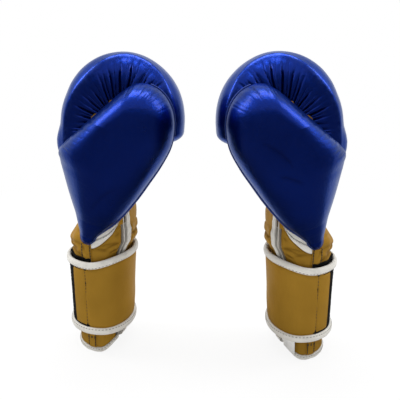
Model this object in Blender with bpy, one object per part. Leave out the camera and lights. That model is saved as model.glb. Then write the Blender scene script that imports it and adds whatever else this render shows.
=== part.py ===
"""A pair of boxing gloves with hook-and-loop wrist straps, standing on their cuffs.

Each glove is built around the hand: a cavity, its lining, the padding and the leather, in layers that share
one path. The path runs up through the cuff, along the hand and over the finger curl. Lengths are in metres,
+Z up. In a glove's own frame X points out of the palm, -Y to the thumb, and Z from the cuff's mouth to the
knuckles. The right glove is the left one mirrored.
"""

import math

import bmesh
import bpy
from mathutils import Matrix, Vector

MM = 0.001

# Placing of the pair
CUFF_SPACING = 190 * MM
RIGHT_GLOVE_FORWARD = 17 * MM

# Sheet thicknesses and the clearance between neighbouring layers
LEATHER = 1.8 * MM
LINING = 1.0 * MM
BACKING = 1.0 * MM
CLEARANCE = 0.4 * MM
CUFF_FOAM = 4.0 * MM

# The path that the hand follows
CUFF_HEIGHT = 128 * MM
HAND_LENGTH = 94 * MM
CURL_RADIUS = 22 * MM
FINGER_LENGTH = 20 * MM
FINGER_END_ROUND = 11 * MM
FINGER_END_FLAT = 0.985

# Squareness of the sections: 2 is an ellipse, and more is boxier. The cuff's turns into the mitt's at the wrist
SECTION_POWER = 2.8
CUFF_POWER = 2.0
SQUARE_FROM = -28 * MM
SQUARE_TO = 40 * MM
THUMB_POWER = 2.3

# Half sizes of the hand cavity as (distance up from the wrist seam, half size)
CAVITY_BACK = [
    (-128 * MM, 20.5 * MM),
    (-37 * MM, 23 * MM),
    (-20 * MM, 25.5 * MM),
    (0, 17 * MM),
    (40 * MM, 14 * MM),
    (94 * MM, 13 * MM),
    (128 * MM, 11 * MM),
    (183 * MM, 10 * MM),
]
CAVITY_PALM = [
    (-128 * MM, 11.5 * MM),
    (-37 * MM, 15.5 * MM),
    (-20 * MM, 22.5 * MM),
    (0, 23 * MM),
    (40 * MM, 17 * MM),
    (80 * MM, 13 * MM),
    (110 * MM, 11 * MM),
    (183 * MM, 10 * MM),
]
CAVITY_THUMB = [
    (-128 * MM, 32 * MM),
    (-34 * MM, 34 * MM),
    (0, 33.5 * MM),
    (94 * MM, 34 * MM),
    (183 * MM, 34 * MM),
]
CAVITY_PINKY = [
    (-128 * MM, 32 * MM),
    (-34 * MM, 34 * MM),
    (0, 33.5 * MM),
    (60 * MM, 37 * MM),
    (120 * MM, 38 * MM),
    (183 * MM, 36 * MM),
]

# Padding of the mitt as (distance up from the wrist seam, thickness)
PAD_BACK = [
    (0, 4 * MM),
    (40 * MM, 15 * MM),
    (80 * MM, 24 * MM),
    (111 * MM, 30 * MM),
    (128 * MM, 31 * MM),
    (146 * MM, 27 * MM),
    (163 * MM, 22.5 * MM),
    (183 * MM, 21 * MM),
]
PAD_PALM = [(0, 4 * MM), (40 * MM, 2.5 * MM), (75 * MM, 0.8 * MM), (183 * MM, 0.8 * MM)]
PAD_THUMB = [(0, 4 * MM), (50 * MM, 5.5 * MM), (183 * MM, 6 * MM)]
PAD_PINKY = [(0, 4 * MM), (60 * MM, 8 * MM), (183 * MM, 8 * MM)]

# Seams of the mitt, as angles from the back of the hand towards the thumb
PALM_SEAM = math.radians(116)
SEAM_GAP = math.radians(1.5)
HEEL_PAD_LENGTH = 60 * MM
GRIP_BAR_RADIUS = 4.5 * MM
GRIP_BAR_LENGTH = 50 * MM
GRIP_BAR_HEIGHT = 72 * MM
GRIP_BAR_CHAMFER = 1.4 * MM

# The way from the hand cavity into the thumb, up from the wrist seam and round the section
WINDOW_LOW = 14 * MM
WINDOW_HIGH = 58 * MM
WINDOW_FROM = math.radians(60)
WINDOW_TO = math.radians(105)

# The thumb's outline seen from the thumb side, as (distance up from the wrist seam, distance towards the palm),
# and its bulge
THUMB_BACK_EDGE = [
    (-15 * MM, -16 * MM),
    (0, -18.5 * MM),
    (32 * MM, -28.5 * MM),
    (70 * MM, -37 * MM),
    (89 * MM, -17 * MM),
    (117 * MM, 16 * MM),
    (129 * MM, 29 * MM),
    (133 * MM, 36 * MM),
]
THUMB_PALM_EDGE = [
    (-15 * MM, -5 * MM),
    (-7 * MM, 1 * MM),
    (7 * MM, 18 * MM),
    (27 * MM, 36 * MM),
    (60 * MM, 60 * MM),
    (77 * MM, 69 * MM),
    (98 * MM, 72.5 * MM),
    (112 * MM, 70 * MM),
    (125 * MM, 61.5 * MM),
    (133 * MM, 49 * MM),
]
THUMB_BULGE = [
    (-15 * MM, 5 * MM),
    (0, 14 * MM),
    (27 * MM, 30 * MM),
    (60 * MM, 42 * MM),
    (87 * MM, 44 * MM),
    (112 * MM, 37 * MM),
    (125 * MM, 25 * MM),
    (133 * MM, 9 * MM),
]
THUMB_POCKET_SHARE = 0.6
THUMB_LINING_SHARE = 0.57
THUMB_THINNEST = 0.35
THUMB_FLAT_FROM = 34 * MM
THUMB_FLAT_TO = 0 * MM
THUMB_FOAM_OFF = 3.2 * MM
THUMB_GAP_ROOT = 1.4 * MM
THUMB_GAP_TIP = 5 * MM
THUMB_GAP_FROM = 42 * MM
THUMB_GAP_TO = 117 * MM
TETHER_HEIGHT = 108 * MM
TETHER_ACROSS = 42 * MM
TETHER_WIDTH = 12 * MM
TETHER_LENGTH = 10 * MM

# The cuff's panels and its slit, as angles from the back of the hand towards the thumb
THUMB_SEAM = math.radians(68)
PINKY_SEAM = math.radians(-90)
SLIT_AT = math.radians(139)
SLIT_WIDTH = math.radians(10)
CUFF_BULGE_HEIGHT = 28 * MM
BINDING_HEIGHT = 5 * MM
BINDING_PROUD = 1.2 * MM
SLIT_BINDING_WIDTH = math.radians(5)
PANEL_STEP = math.radians(15)
SEAM_STRIP_WIDTH = math.radians(18)
SEAM_STRIP_DROP = 17 * MM
GUSSET_DROP = 21 * MM
GUSSET_TO = math.radians(122)
GUSSET_POINT = 2 * MM
TRIM = 1.0 * MM

# The wrist strap
STRAP_LOW = 20 * MM
STRAP_HIGH = 91 * MM
PIPING_RADIUS = 2.9 * MM
STRAP_FREE_FROM = math.radians(198)
STRAP_SEWN_TO = math.radians(262)
STRAP_STITCH = math.radians(70)
TIP_LEATHER_TO = math.radians(44)
TIP_TO = math.radians(-38)
LOOP_FROM = math.radians(57)
LOOP_TO = math.radians(-52)

# The blank tag on the right glove's mouth
TAG_WIDTH = math.radians(26)
TAG_AT = math.radians(116)
TAG_LENGTH = 17 * MM
TAG_THICKNESS = 0.6 * MM

# Sizes that follow from the ones above
CURL_HEIGHT = CUFF_HEIGHT + HAND_LENGTH
SEAM_STRIP_TOP = CUFF_HEIGHT - SEAM_STRIP_DROP
GUSSET_LOW = CUFF_HEIGHT - GUSSET_DROP
FINGER_START = HAND_LENGTH + math.pi * CURL_RADIUS
FINGER_END = FINGER_START + FINGER_LENGTH
PALM_END = FINGER_END - FINGER_END_ROUND
TRIM_OUTSIDE = CLEARANCE + TRIM
BACKING_INSIDE = TRIM_OUTSIDE + CLEARANCE
STRAP_INSIDE = BACKING_INSIDE + BACKING + CLEARANCE
STRAP_OUTSIDE = STRAP_INSIDE + LEATHER
PIPING_LIFT = TRIM_OUTSIDE + CLEARANCE + PIPING_RADIUS
HINGE_LIFT = PIPING_LIFT + PIPING_RADIUS + CLEARANCE
THUMB_LINED = LEATHER + THUMB_FOAM_OFF / 2 + 2 * CLEARANCE
STRAP_EDGE_LOW = STRAP_LOW + PIPING_RADIUS + CLEARANCE
STRAP_EDGE_HIGH = STRAP_HIGH - PIPING_RADIUS - CLEARANCE

for old in list(bpy.data.objects):
    bpy.data.objects.remove(old)


def steps(first, last, count):
    """count + 1 evenly spaced values."""
    return [first + (last - first) * i / count for i in range(count + 1)]


def smooth(x, low, high):
    """0 below low, 1 above high, and an S curve between."""
    t = min(1.0, max(0.0, (x - low) / (high - low)))
    return t * t * (3 - 2 * t)


def through(knots, x):
    """A curve through the knots that never swings past them."""
    if x <= knots[0][0]:
        return knots[0][1]
    if x >= knots[-1][0]:
        return knots[-1][1]
    widths = [b[0] - a[0] for a, b in zip(knots, knots[1:])]
    slopes = [(b[1] - a[1]) / w for a, b, w in zip(knots, knots[1:], widths)]
    tangents = [slopes[0]]
    for before, after in zip(slopes, slopes[1:]):
        tangents.append(0.0 if before * after <= 0 else 2 * before * after / (before + after))
    tangents.append(slopes[-1])
    i = max(k for k in range(len(widths)) if knots[k][0] <= x)
    t = (x - knots[i][0]) / widths[i]
    return (
        knots[i][1] * (1 + 2 * t) * (1 - t) ** 2
        + knots[i + 1][1] * t * t * (3 - 2 * t)
        + widths[i] * tangents[i] * t * (1 - t) ** 2
        - widths[i] * tangents[i + 1] * t * t * (1 - t)
    )


def signed_power(value, power):
    return math.copysign(abs(value) ** power, value)


def squareness(s):
    """Power of the section at a distance along the path from the wrist seam."""
    return CUFF_POWER + (SECTION_POWER - CUFF_POWER) * smooth(s, SQUARE_FROM, SQUARE_TO)


def section(radii, angle, grow, power):
    """(outwards, sideways) on a rounded section. Angle 0 is the back of the hand, a right angle the thumb."""
    back, palm, thumb, pinky = radii
    across = signed_power(math.cos(angle), 2 / power)
    along = signed_power(math.sin(angle), 2 / power)
    return (
        ((back if across >= 0 else palm) + grow) * across,
        -((thumb if along >= 0 else pinky) + grow) * along,
    )


def cavity(s):
    """Half sizes of the hand cavity at a distance along the path from the wrist seam."""
    return [through(k, s) for k in (CAVITY_BACK, CAVITY_PALM, CAVITY_THUMB, CAVITY_PINKY)]


def padding(s):
    """Thickness of the padding on the four sides."""
    if s < 0:
        return [CUFF_FOAM] * 4
    return [through(k, s) for k in (PAD_BACK, PAD_PALM, PAD_THUMB, PAD_PINKY)]


def outer(s):
    """Half sizes of the leather's outside."""
    layers = LINING + 2 * CLEARANCE + LEATHER
    return [hollow + pad + layers for hollow, pad in zip(cavity(s), padding(s))]


def on_path(s, outwards, sideways):
    """A point beside the path, in the glove's frame."""
    if s <= HAND_LENGTH:
        return Vector((-outwards, sideways, CUFF_HEIGHT + s))
    if s < FINGER_START:
        turn = (s - HAND_LENGTH) / CURL_RADIUS
        reach = CURL_RADIUS + outwards
        return Vector((CURL_RADIUS - reach * math.cos(turn), sideways, CURL_HEIGHT + reach * math.sin(turn)))
    return Vector((2 * CURL_RADIUS + outwards, sideways, CURL_HEIGHT - (s - FINGER_START)))


def leather_point(s, angle, depth=0.0):
    """A point at a depth under the leather's outside. Past the palm panel the finger closes in a dome."""
    outwards, sideways = section(outer(s), angle, -depth, squareness(s))
    if s > PALM_END:
        back, palm, _, _ = outer(s)
        share = min(FINGER_END_FLAT, (s - PALM_END) / FINGER_END_ROUND)
        close = math.sqrt(1 - share * share)
        middle = (back - palm) / 2
        outwards = middle + (outwards - middle) * close
        sideways *= close
        s = s - depth * share
    return on_path(s, outwards, sideways)


def cavity_point(s, angle, grow=0.0):
    """A point on the hand cavity's wall, or outside it by grow."""
    return on_path(s, *section(cavity(s), angle, grow, squareness(s)))


def cuff_point(height, angle, lift=0.0):
    """A point on the cuff's outside, or lifted off it."""
    return leather_point(height - CUFF_HEIGHT, angle, -lift)


def thumb_side_reach(across, height):
    """How far the glove's body reaches towards the thumb at a place seen from the thumb side."""
    lift = 0.0
    if height <= CURL_HEIGHT and across <= CURL_RADIUS:
        s, outwards = height - CUFF_HEIGHT, -across
        if s < 0:
            lift = TRIM_OUTSIDE
    elif height <= CURL_HEIGHT:
        s, outwards = FINGER_START + CURL_HEIGHT - height, across - 2 * CURL_RADIUS
        if s > FINGER_END:
            return 0.0
    else:
        turn = math.atan2(height - CURL_HEIGHT, CURL_RADIUS - across)
        s = HAND_LENGTH + turn * CURL_RADIUS
        outwards = math.hypot(height - CURL_HEIGHT, across - CURL_RADIUS) - CURL_RADIUS
    back, palm, thumb, _ = [half + lift for half in outer(s)]
    share = abs(outwards) / (back if outwards >= 0 else palm)
    power = squareness(s)
    return thumb * (1 - share**power) ** (1 / power) if share < 1 else 0.0


def thumb_gap(height):
    """The space between the thumb and the mitt, which widens towards the thumb's tip."""
    widening = smooth(height - CUFF_HEIGHT, THUMB_GAP_FROM, THUMB_GAP_TO)
    return THUMB_GAP_ROOT + (THUMB_GAP_TIP - THUMB_GAP_ROOT) * widening


THUMB_LOW, THUMB_TOP = (CUFF_HEIGHT + THUMB_BACK_EDGE[end][0] for end in (0, -1))

# Rows of the thumb below and above the window, as shares of those stretches, closer where it rounds off
THUMB_ROWS_BELOW = (0, 0.15, 0.4, 0.7)
THUMB_ROWS_ABOVE = (0.1, 0.2, 0.32, 0.46, 0.6, 0.73, 0.84, 0.92, 0.97, 1)
THUMB_ROOT_REACH = max(outer(s)[2] for s in steps(0, HAND_LENGTH, 8))


def thumb_base(across, height):
    """How far out the thumb's inner side lies: round the mitt's edge at the back, flat towards the palm."""
    flat = THUMB_ROOT_REACH * smooth(across, -THUMB_FLAT_FROM, -THUMB_FLAT_TO)
    return max(thumb_side_reach(across, height), flat) + thumb_gap(height)


def thumb_point(height, angle, depth=0.0, share=1.0, least=0.0):
    """A point on the thumb's bulge, at a depth under its leather. Angle 0 is its edge at the hand's back."""
    up = height - CUFF_HEIGHT
    back_edge, palm_edge = through(THUMB_BACK_EDGE, up), through(THUMB_PALM_EDGE, up)
    half, middle = (palm_edge - back_edge) / 2, (palm_edge + back_edge) / 2
    reach = through(THUMB_BULGE, up)
    across = -signed_power(math.cos(angle), 2 / THUMB_POWER)
    bulge = signed_power(math.sin(angle), 2 / THUMB_POWER)
    at_back, at_palm = thumb_base(back_edge, height), thumb_base(palm_edge, height)
    full = at_back + (at_palm - at_back) * (0.5 + 0.5 * across) + reach * bulge
    swell = max(0.0, full - thumb_base(middle + half * across, height))
    thinned = max(THUMB_THINNEST, 1 - depth / min(half, reach)) * share
    place = middle + half * thinned * across
    low, high = THUMB_LOW + depth, THUMB_TOP - depth
    level = low + (high - low) * (height - THUMB_LOW) / (THUMB_TOP - THUMB_LOW)
    return Vector((place, -(thumb_base(place, level) + max(least, swell * thinned)), level))


def in_window(s, angle):
    """Whether the middle of a cell lies in the way into the thumb."""
    return WINDOW_LOW < s < WINDOW_HIGH and WINDOW_FROM < angle < WINDOW_TO


MATERIALS = {}


def material(name, colour, roughness, metallic=0.0):
    if name not in MATERIALS:
        made = bpy.data.materials.new(name)
        made.use_nodes = True
        shader = made.node_tree.nodes["Principled BSDF"]
        shader.inputs["Base Color"].default_value = (*colour, 1)
        shader.inputs["Roughness"].default_value = roughness
        shader.inputs["Metallic"].default_value = metallic
        MATERIALS[name] = made
    return MATERIALS[name]


def blue_leather():
    return material("blue_leather", (0.012, 0.045, 0.27), 0.32, 0.35)


def gold_leather():
    return material("gold_leather", (0.31, 0.18, 0.03), 0.4, 0.35)


def white_leather():
    return material("white_leather", (0.78, 0.76, 0.72), 0.5)


def black_fastener():
    return material("black_fastener", (0.012, 0.012, 0.013), 0.9)


def pale_lining():
    return material("pale_lining", (0.7, 0.69, 0.66), 0.8)


def foam():
    return material("foam", (0.55, 0.53, 0.45), 0.95)


def grid(rows, columns, point):
    return [[point(row, column) for column in columns] for row in rows]


def sheet(outside, inside, left_out=(), closed=False, capped=False):
    """A closed solid between two grids of points. left_out holds the cells of a hole through it, closed joins
    its last column to its first, and capped closes its last row."""
    made = bmesh.new()
    rows, columns = len(outside), len(outside[0])
    faces = [[made.verts.new(p) for row in side for p in row] for side in (outside, inside)]
    borders = {}
    for i in range(rows - 1):
        for j in range(columns if closed else columns - 1):
            if (i, j) in left_out:
                continue
            k = (j + 1) % columns
            corners = [i * columns + j, (i + 1) * columns + j, (i + 1) * columns + k, i * columns + k]
            for side in faces:
                made.faces.new([side[c] for c in corners])
            for a, b in zip(corners, corners[1:] + corners[:1]):
                borders[frozenset((a, b))] = None if frozenset((a, b)) in borders else (a, b)
    last_row = range((rows - 1) * columns, rows * columns)
    for edge in borders.values():
        if edge and not (capped and edge[0] in last_row and edge[1] in last_row):
            a, b = edge
            made.faces.new([faces[0][a], faces[0][b], faces[1][b], faces[1][a]])
    if capped:
        for side in faces:
            made.faces.new([side[c] for c in last_row])
    bmesh.ops.delete(made, geom=[v for v in made.verts if not v.link_faces], context="VERTS")
    return made


def rod(rings):
    """A closed solid through rings of points, with flat ends."""
    made = bmesh.new()
    rows = [[made.verts.new(p) for p in ring] for ring in rings]
    count = len(rows[0])
    for row, after in zip(rows, rows[1:]):
        for j in range(count):
            k = (j + 1) % count
            made.faces.new([row[j], row[k], after[k], after[j]])
    made.faces.new(rows[0])
    made.faces.new(rows[-1])
    return made


def glove_frame(side):
    """The empty that carries one glove."""
    empty = bpy.data.objects.new(side + "_glove", None)
    bpy.context.scene.collection.objects.link(empty)
    away = CUFF_SPACING / 2
    empty.location = (-away, 0, 0) if side == "left" else (away, -RIGHT_GLOVE_FORWARD, 0)
    return empty


class Glove:
    """One glove: it turns each solid into an object on the glove's frame, mirrored for the right hand."""

    def __init__(self, side):
        self.side = side
        self.sign = 1 if side == "left" else -1
        self.frame = glove_frame(side)

    def hinge(self, name, angle, parent=None):
        """An empty on a strap hinge, with its Z along the axis."""
        low, high = (cuff_point(z, angle, HINGE_LIFT) for z in (STRAP_LOW, STRAP_HIGH))
        for point in (low, high):
            point.x *= self.sign
        turn = (high - low).to_track_quat("Z", "Y").to_matrix().to_4x4()
        empty = bpy.data.objects.new(f"{self.side}_{name}", None)
        bpy.context.scene.collection.objects.link(empty)
        rest = Matrix.Translation((low + high) / 2) @ turn
        empty.parent = parent or self.frame
        if parent:
            empty.matrix_parent_inverse = self.rest_of(parent).inverted()
        empty.matrix_basis = rest
        return empty

    def rest_of(self, empty):
        """The hinge's place in the glove's frame."""
        return empty.matrix_basis.copy()

    def add(self, name, solid, finish, hinge=None):
        """Makes the solid an object of the glove, carried by the frame or by a hinge."""
        bmesh.ops.scale(solid, vec=(self.sign, 1, 1), verts=solid.verts)
        bmesh.ops.recalc_face_normals(solid, faces=solid.faces)
        mesh = bpy.data.meshes.new(f"{self.side}_{name}")
        solid.to_mesh(mesh)
        solid.free()
        mesh.shade_smooth()
        mesh.set_sharp_from_angle(angle=math.radians(40))
        mesh.materials.append(finish)
        made = bpy.data.objects.new(mesh.name, mesh)
        bpy.context.scene.collection.objects.link(made)
        made.parent = hinge or self.frame
        if hinge:
            made.matrix_parent_inverse = self.rest_of(hinge).inverted()
        return made


def window_cells(rows, columns):
    """The cells of a path grid that the way into the thumb leaves out."""
    return {
        (i, j)
        for i in range(len(rows) - 1)
        for j in range(len(columns) - 1)
        if in_window((rows[i] + rows[i + 1]) / 2, (columns[j] + columns[j + 1]) / 2)
    }


def span(first, last, step=PANEL_STEP):
    """Angles from first to last, with every whole step between, so that nested layers share their columns."""
    inner = range(math.floor(first / step) - 1, math.ceil(last / step) + 2)
    return [first] + [i * step for i in inner if first + step / 4 < i * step < last - step / 4] + [last]


def foam_span(first, last):
    """Wider columns for the padding and the linings, with the window's and the slit's edges among them."""
    window = span(WINDOW_FROM, WINDOW_TO)
    slit = [SLIT_AT - SLIT_WIDTH / 2, SLIT_AT + SLIT_WIDTH / 2]
    kept = [e for e in window + slit if first < e < last]
    coarse = [a for a in span(first, last, 2 * PANEL_STEP) if all(abs(a - e) > PANEL_STEP / 3 for e in kept)]
    return sorted(coarse + kept)


def hand_rows(first, last):
    """Places along the hand and round the curl, with rows on the window's two ends."""
    rows = (
        steps(WINDOW_LOW, WINDOW_HIGH, 3)
        + steps(WINDOW_HIGH, HAND_LENGTH, 2)[1:]
        + steps(HAND_LENGTH, FINGER_START, 8)[1:]
    )
    return [first] + [s for s in rows if s < last] + [last]


def mitt_shell(glove):
    """The blue leather over the back, the knuckles, the sides and the finger end."""
    body = hand_rows(CLEARANCE / 2, PALM_END + CLEARANCE)
    lip = PALM_END + 2 * CLEARANCE + LEATHER
    dome = steps(lip, FINGER_END, 4)
    seam = PALM_SEAM - SEAM_GAP
    columns = span(-seam, seam)
    wide = math.pi - SEAM_GAP

    def row(s, depth):
        stretch = wide / seam if s >= lip else 1.0
        return [leather_point(s, angle * stretch, depth) for angle in columns]

    solid = sheet(
        [row(s, 0) for s in body + dome],
        [row(s, LEATHER) for s in body + dome],
        window_cells(body, columns),
    )
    glove.add("mitt_shell", solid, blue_leather())


def knuckle_foam(glove):
    """The thick padding under the mitt's leather, which thins to the wrist."""
    rows = hand_rows(2 * CLEARANCE, PALM_END - CLEARANCE)
    seam = PALM_SEAM - 3 * SEAM_GAP
    columns = foam_span(-seam, seam)
    solid = sheet(
        grid(rows, columns, lambda s, a: leather_point(s, a, LEATHER + CLEARANCE)),
        grid(rows, columns, lambda s, a: cavity_point(s, a, LINING + CLEARANCE)),
        window_cells(rows, columns),
    )
    glove.add("knuckle_foam", solid, foam())


def palm_panel(glove):
    """The gold leather over the palm, which runs on round the inside of the finger curl."""
    rows = hand_rows(CLEARANCE / 2, PALM_END)
    columns = span(PALM_SEAM, 2 * math.pi - PALM_SEAM)
    solid = sheet(
        grid(rows, columns, leather_point),
        grid(rows, columns, lambda s, a: leather_point(s, a, LEATHER)),
    )
    glove.add("palm_panel", solid, gold_leather())


def heel_pad(glove):
    """The padding under the heel of the palm."""
    rows = hand_rows(2 * CLEARANCE, HEEL_PAD_LENGTH)
    columns = foam_span(PALM_SEAM + 4 * SEAM_GAP, 2 * math.pi - PALM_SEAM - 4 * SEAM_GAP)
    solid = sheet(
        grid(rows, columns, lambda s, a: leather_point(s, a, LEATHER + CLEARANCE)),
        grid(rows, columns, lambda s, a: cavity_point(s, a, LINING + CLEARANCE)),
    )
    glove.add("heel_pad", solid, foam())


def slit_cells(rows, columns):
    """The lining's cells behind the cuff's slit."""
    half = SLIT_WIDTH / 2
    return {
        (i, j)
        for i in range(len(rows) - 1)
        for j in range(len(columns) - 1)
        if rows[i + 1] < -CLEARANCE and abs((columns[j] + columns[j + 1]) / 2 - SLIT_AT) < half
    }


def hand_lining(glove):
    """The pale pocket that the hand goes into, from the cuff's mouth to the fingertips."""
    in_cuff = [height - CUFF_HEIGHT for height in cuff_heights()]
    rows = in_cuff + hand_rows(2 * CLEARANCE, PALM_END - 3 * CLEARANCE)
    columns = foam_span(0, 2 * math.pi)[:-1]
    solid = sheet(
        grid(rows, columns, lambda s, a: cavity_point(s, a, LINING)),
        grid(rows, columns, cavity_point),
        window_cells(rows, columns) | slit_cells(rows, columns),
        closed=True,
        capped=True,
    )
    glove.add("hand_lining", solid, pale_lining())


def lining_reach(s, side):
    """How far the lining's flat faces reach towards the palm, at a place along the hand and across it."""
    corners = [section(cavity(s), angle, 0, squareness(s)) for angle in foam_span(0, 2 * math.pi)]
    palm_side = [(-out, across) for out, across in corners if out < 0]
    for (reach, across), (next_reach, next_across) in zip(palm_side, palm_side[1:]):
        if across <= side <= next_across:
            return reach + (next_reach - reach) * (side - across) / (next_across - across)
    return 0


def grip_bar(glove):
    """The bar across the palm that the fingers close on, against the lining."""
    ends = [-GRIP_BAR_LENGTH / 2, GRIP_BAR_LENGTH / 2]
    wall = min(lining_reach(GRIP_BAR_HEIGHT, end) for end in ends)
    centre = wall - GRIP_BAR_RADIUS - CLEARANCE
    inset = GRIP_BAR_CHAMFER
    stations = [
        (ends[0], GRIP_BAR_RADIUS - inset),
        (ends[0] + inset, GRIP_BAR_RADIUS),
        (ends[1] - inset, GRIP_BAR_RADIUS),
        (ends[1], GRIP_BAR_RADIUS - inset),
    ]
    rings = [
        [
            on_path(GRIP_BAR_HEIGHT + radius * math.sin(turn), -centre + radius * math.cos(turn), side)
            for turn in steps(0, 2 * math.pi, 14)[:-1]
        ]
        for side, radius in stations
    ]
    glove.add("grip_bar", rod(rings), foam())


def thumb_rows():
    """Heights up the thumb, with rows on the window's two ends."""
    low, high = CUFF_HEIGHT + WINDOW_LOW, CUFF_HEIGHT + WINDOW_HIGH
    return (
        [THUMB_LOW + (low - THUMB_LOW) * share for share in THUMB_ROWS_BELOW]
        + steps(low, high, 4)
        + [high + (THUMB_TOP - high) * share for share in THUMB_ROWS_ABOVE]
    )


def thumb_shell(glove):
    """The blue leather that swells over the thumb and runs to a point at the wrist."""
    rows = thumb_rows()
    columns = span(0, math.pi)
    solid = sheet(
        grid(rows, columns, thumb_point),
        grid(rows, columns, lambda z, a: thumb_point(z, a, LEATHER)),
    )
    glove.add("thumb_shell", solid, blue_leather())


def thumb_layer(outside, inside, outside_share, inside_share, least):
    """A layer inside the thumb's leather, clear of its two ends and at least a distance off the mitt."""
    rows = thumb_rows()[3:-3]
    columns = span(0, math.pi, 2 * PANEL_STEP)
    return sheet(
        grid(rows, columns, lambda z, a: thumb_point(z, a, outside, outside_share, least)),
        grid(rows, columns, lambda z, a: thumb_point(z, a, inside, inside_share, least)),
    )


def thumb_padding(glove):
    """The padding between the thumb's leather and its pocket, and the pocket's pale lining."""
    under = LEATHER + THUMB_FOAM_OFF / 2
    glove.add("thumb_foam", thumb_layer(under, under, 1, THUMB_POCKET_SHARE, THUMB_FOAM_OFF), foam())
    lining = thumb_layer(THUMB_LINED, THUMB_LINED + LINING, THUMB_LINING_SHARE, THUMB_LINING_SHARE, 0)
    glove.add("thumb_lining", lining, pale_lining())


def thumb_inner_panel(glove):
    """The gold leather on the thumb's inner side, with the way in from the hand."""
    rows = thumb_rows()[3:-3]
    shares = steps(0, 1, 7)
    depth = THUMB_LINED + LINING + LEATHER + CLEARANCE

    def point(height, share, proud):
        back_edge = thumb_point(height, 0, depth, THUMB_LINING_SHARE)
        palm_edge = thumb_point(height, math.pi, depth, THUMB_LINING_SHARE)
        across = back_edge.x + (palm_edge.x - back_edge.x) * share
        return Vector((across, -thumb_base(across, back_edge.z) - proud, back_edge.z))

    at_window = outer(WINDOW_LOW), squareness(WINDOW_LOW)
    sides = [-section(at_window[0], angle, 0, at_window[1])[0] for angle in (WINDOW_FROM, WINDOW_TO)]
    hole = {
        (i, j)
        for i in range(len(rows) - 1)
        for j in range(len(shares) - 1)
        if WINDOW_LOW < (rows[i] + rows[i + 1]) / 2 - CUFF_HEIGHT < WINDOW_HIGH
        and sides[0] < point((rows[i] + rows[i + 1]) / 2, (shares[j] + shares[j + 1]) / 2, 0).x < sides[1]
    }
    solid = sheet(
        grid(rows, shares, lambda z, q: point(z, q, 0)),
        grid(rows, shares, lambda z, q: point(z, q, LEATHER)),
        hole,
    )
    glove.add("thumb_inner_panel", solid, gold_leather())


def thumb_tether(glove):
    """The short gold tab that keeps the thumb beside the fist."""
    height = CUFF_HEIGHT + TETHER_HEIGHT
    rows = steps(height - TETHER_LENGTH / 2, height + TETHER_LENGTH / 2, 2)
    columns = steps(TETHER_ACROSS - TETHER_WIDTH / 2, TETHER_ACROSS + TETHER_WIDTH / 2, 2)
    solid = sheet(
        grid(rows, columns, lambda z, p: Vector((p, CLEARANCE - thumb_base(p, z), z))),
        grid(rows, columns, lambda z, p: Vector((p, thumb_gap(z) - CLEARANCE - thumb_base(p, z), z))),
    )
    glove.add("thumb_tether", solid, gold_leather())


def cuff_sheet(heights, angles, outside, inside):
    """A sheet that lies round the cuff between two lifts."""
    return sheet(
        grid(heights, angles, lambda z, a: cuff_point(z, a, outside)),
        grid(heights, angles, lambda z, a: cuff_point(z, a, inside)),
    )


def cuff_heights():
    """Heights up the cuff: its lower edge, the strap's middle and top, then over the bulge to the wrist seam."""
    bulge = steps(CUFF_HEIGHT - CUFF_BULGE_HEIGHT, CUFF_HEIGHT - CLEARANCE / 2, 3)
    return [BINDING_HEIGHT + CLEARANCE, (STRAP_LOW + STRAP_HIGH) / 2, STRAP_HIGH + PIPING_RADIUS] + bulge


def cuff_panels(glove):
    """The gold leather of the cuff: the back, and the two flaps that meet at the slit."""
    gap = SEAM_GAP / 2
    thumb_edge = SLIT_AT - SLIT_WIDTH / 2 - SLIT_BINDING_WIDTH - gap
    pinky_edge = SLIT_AT + SLIT_WIDTH / 2 + SLIT_BINDING_WIDTH + gap
    spans = {
        "cuff_back_panel": span(PINKY_SEAM + gap, THUMB_SEAM - gap),
        "cuff_thumb_flap": span(THUMB_SEAM + gap, thumb_edge),
        "cuff_pinky_flap": span(pinky_edge, 2 * math.pi + PINKY_SEAM - gap),
    }
    for name, angles in spans.items():
        glove.add(name, cuff_sheet(cuff_heights(), angles, 0, -LEATHER), gold_leather())


def cuff_foam(glove):
    """The padding inside the cuff's leather."""
    gap = SLIT_BINDING_WIDTH + SEAM_GAP
    angles = foam_span(SLIT_AT + SLIT_WIDTH / 2 + gap - 2 * math.pi, SLIT_AT - SLIT_WIDTH / 2 - gap)
    inside = LEATHER + CLEARANCE
    solid = cuff_sheet(cuff_heights(), angles, -inside, -inside - CUFF_FOAM)
    glove.add("cuff_foam", solid, foam())


def mouth_binding(glove):
    """The white binding folded over the cuff's lower edge, which the glove stands on."""
    inside = -(LEATHER + CUFF_FOAM + 3 * CLEARANCE + LINING)
    edge = SEAM_GAP
    angles = span(SLIT_AT + SLIT_WIDTH / 2 + edge - 2 * math.pi, SLIT_AT - SLIT_WIDTH / 2 - edge)
    soft = BINDING_PROUD
    profile = [
        (inside, 0),
        (0, 0),
        (BINDING_PROUD, soft),
        (BINDING_PROUD, BINDING_HEIGHT - soft),
        (0, BINDING_HEIGHT),
        (inside, BINDING_HEIGHT),
    ]
    rings = []
    for angle in angles:
        ring = [cuff_point(0, angle, lift) for lift, _ in profile]
        for point, (_, height) in zip(ring, profile):
            point.z = height
        rings.append(ring)
    glove.add("mouth_binding", rod(rings), white_leather())


def slit_bindings(glove):
    """The white bindings folded over the slit's two edges."""
    inside = LEATHER + CUFF_FOAM + CLEARANCE
    edges = {
        "slit_binding_thumb": SLIT_AT - SLIT_WIDTH / 2 - SLIT_BINDING_WIDTH,
        "slit_binding_pinky": SLIT_AT + SLIT_WIDTH / 2,
    }
    for name, first in edges.items():
        angles = steps(first, first + SLIT_BINDING_WIDTH, 2)
        glove.add(name, cuff_sheet(cuff_heights(), angles, TRIM, -inside), white_leather())


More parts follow.
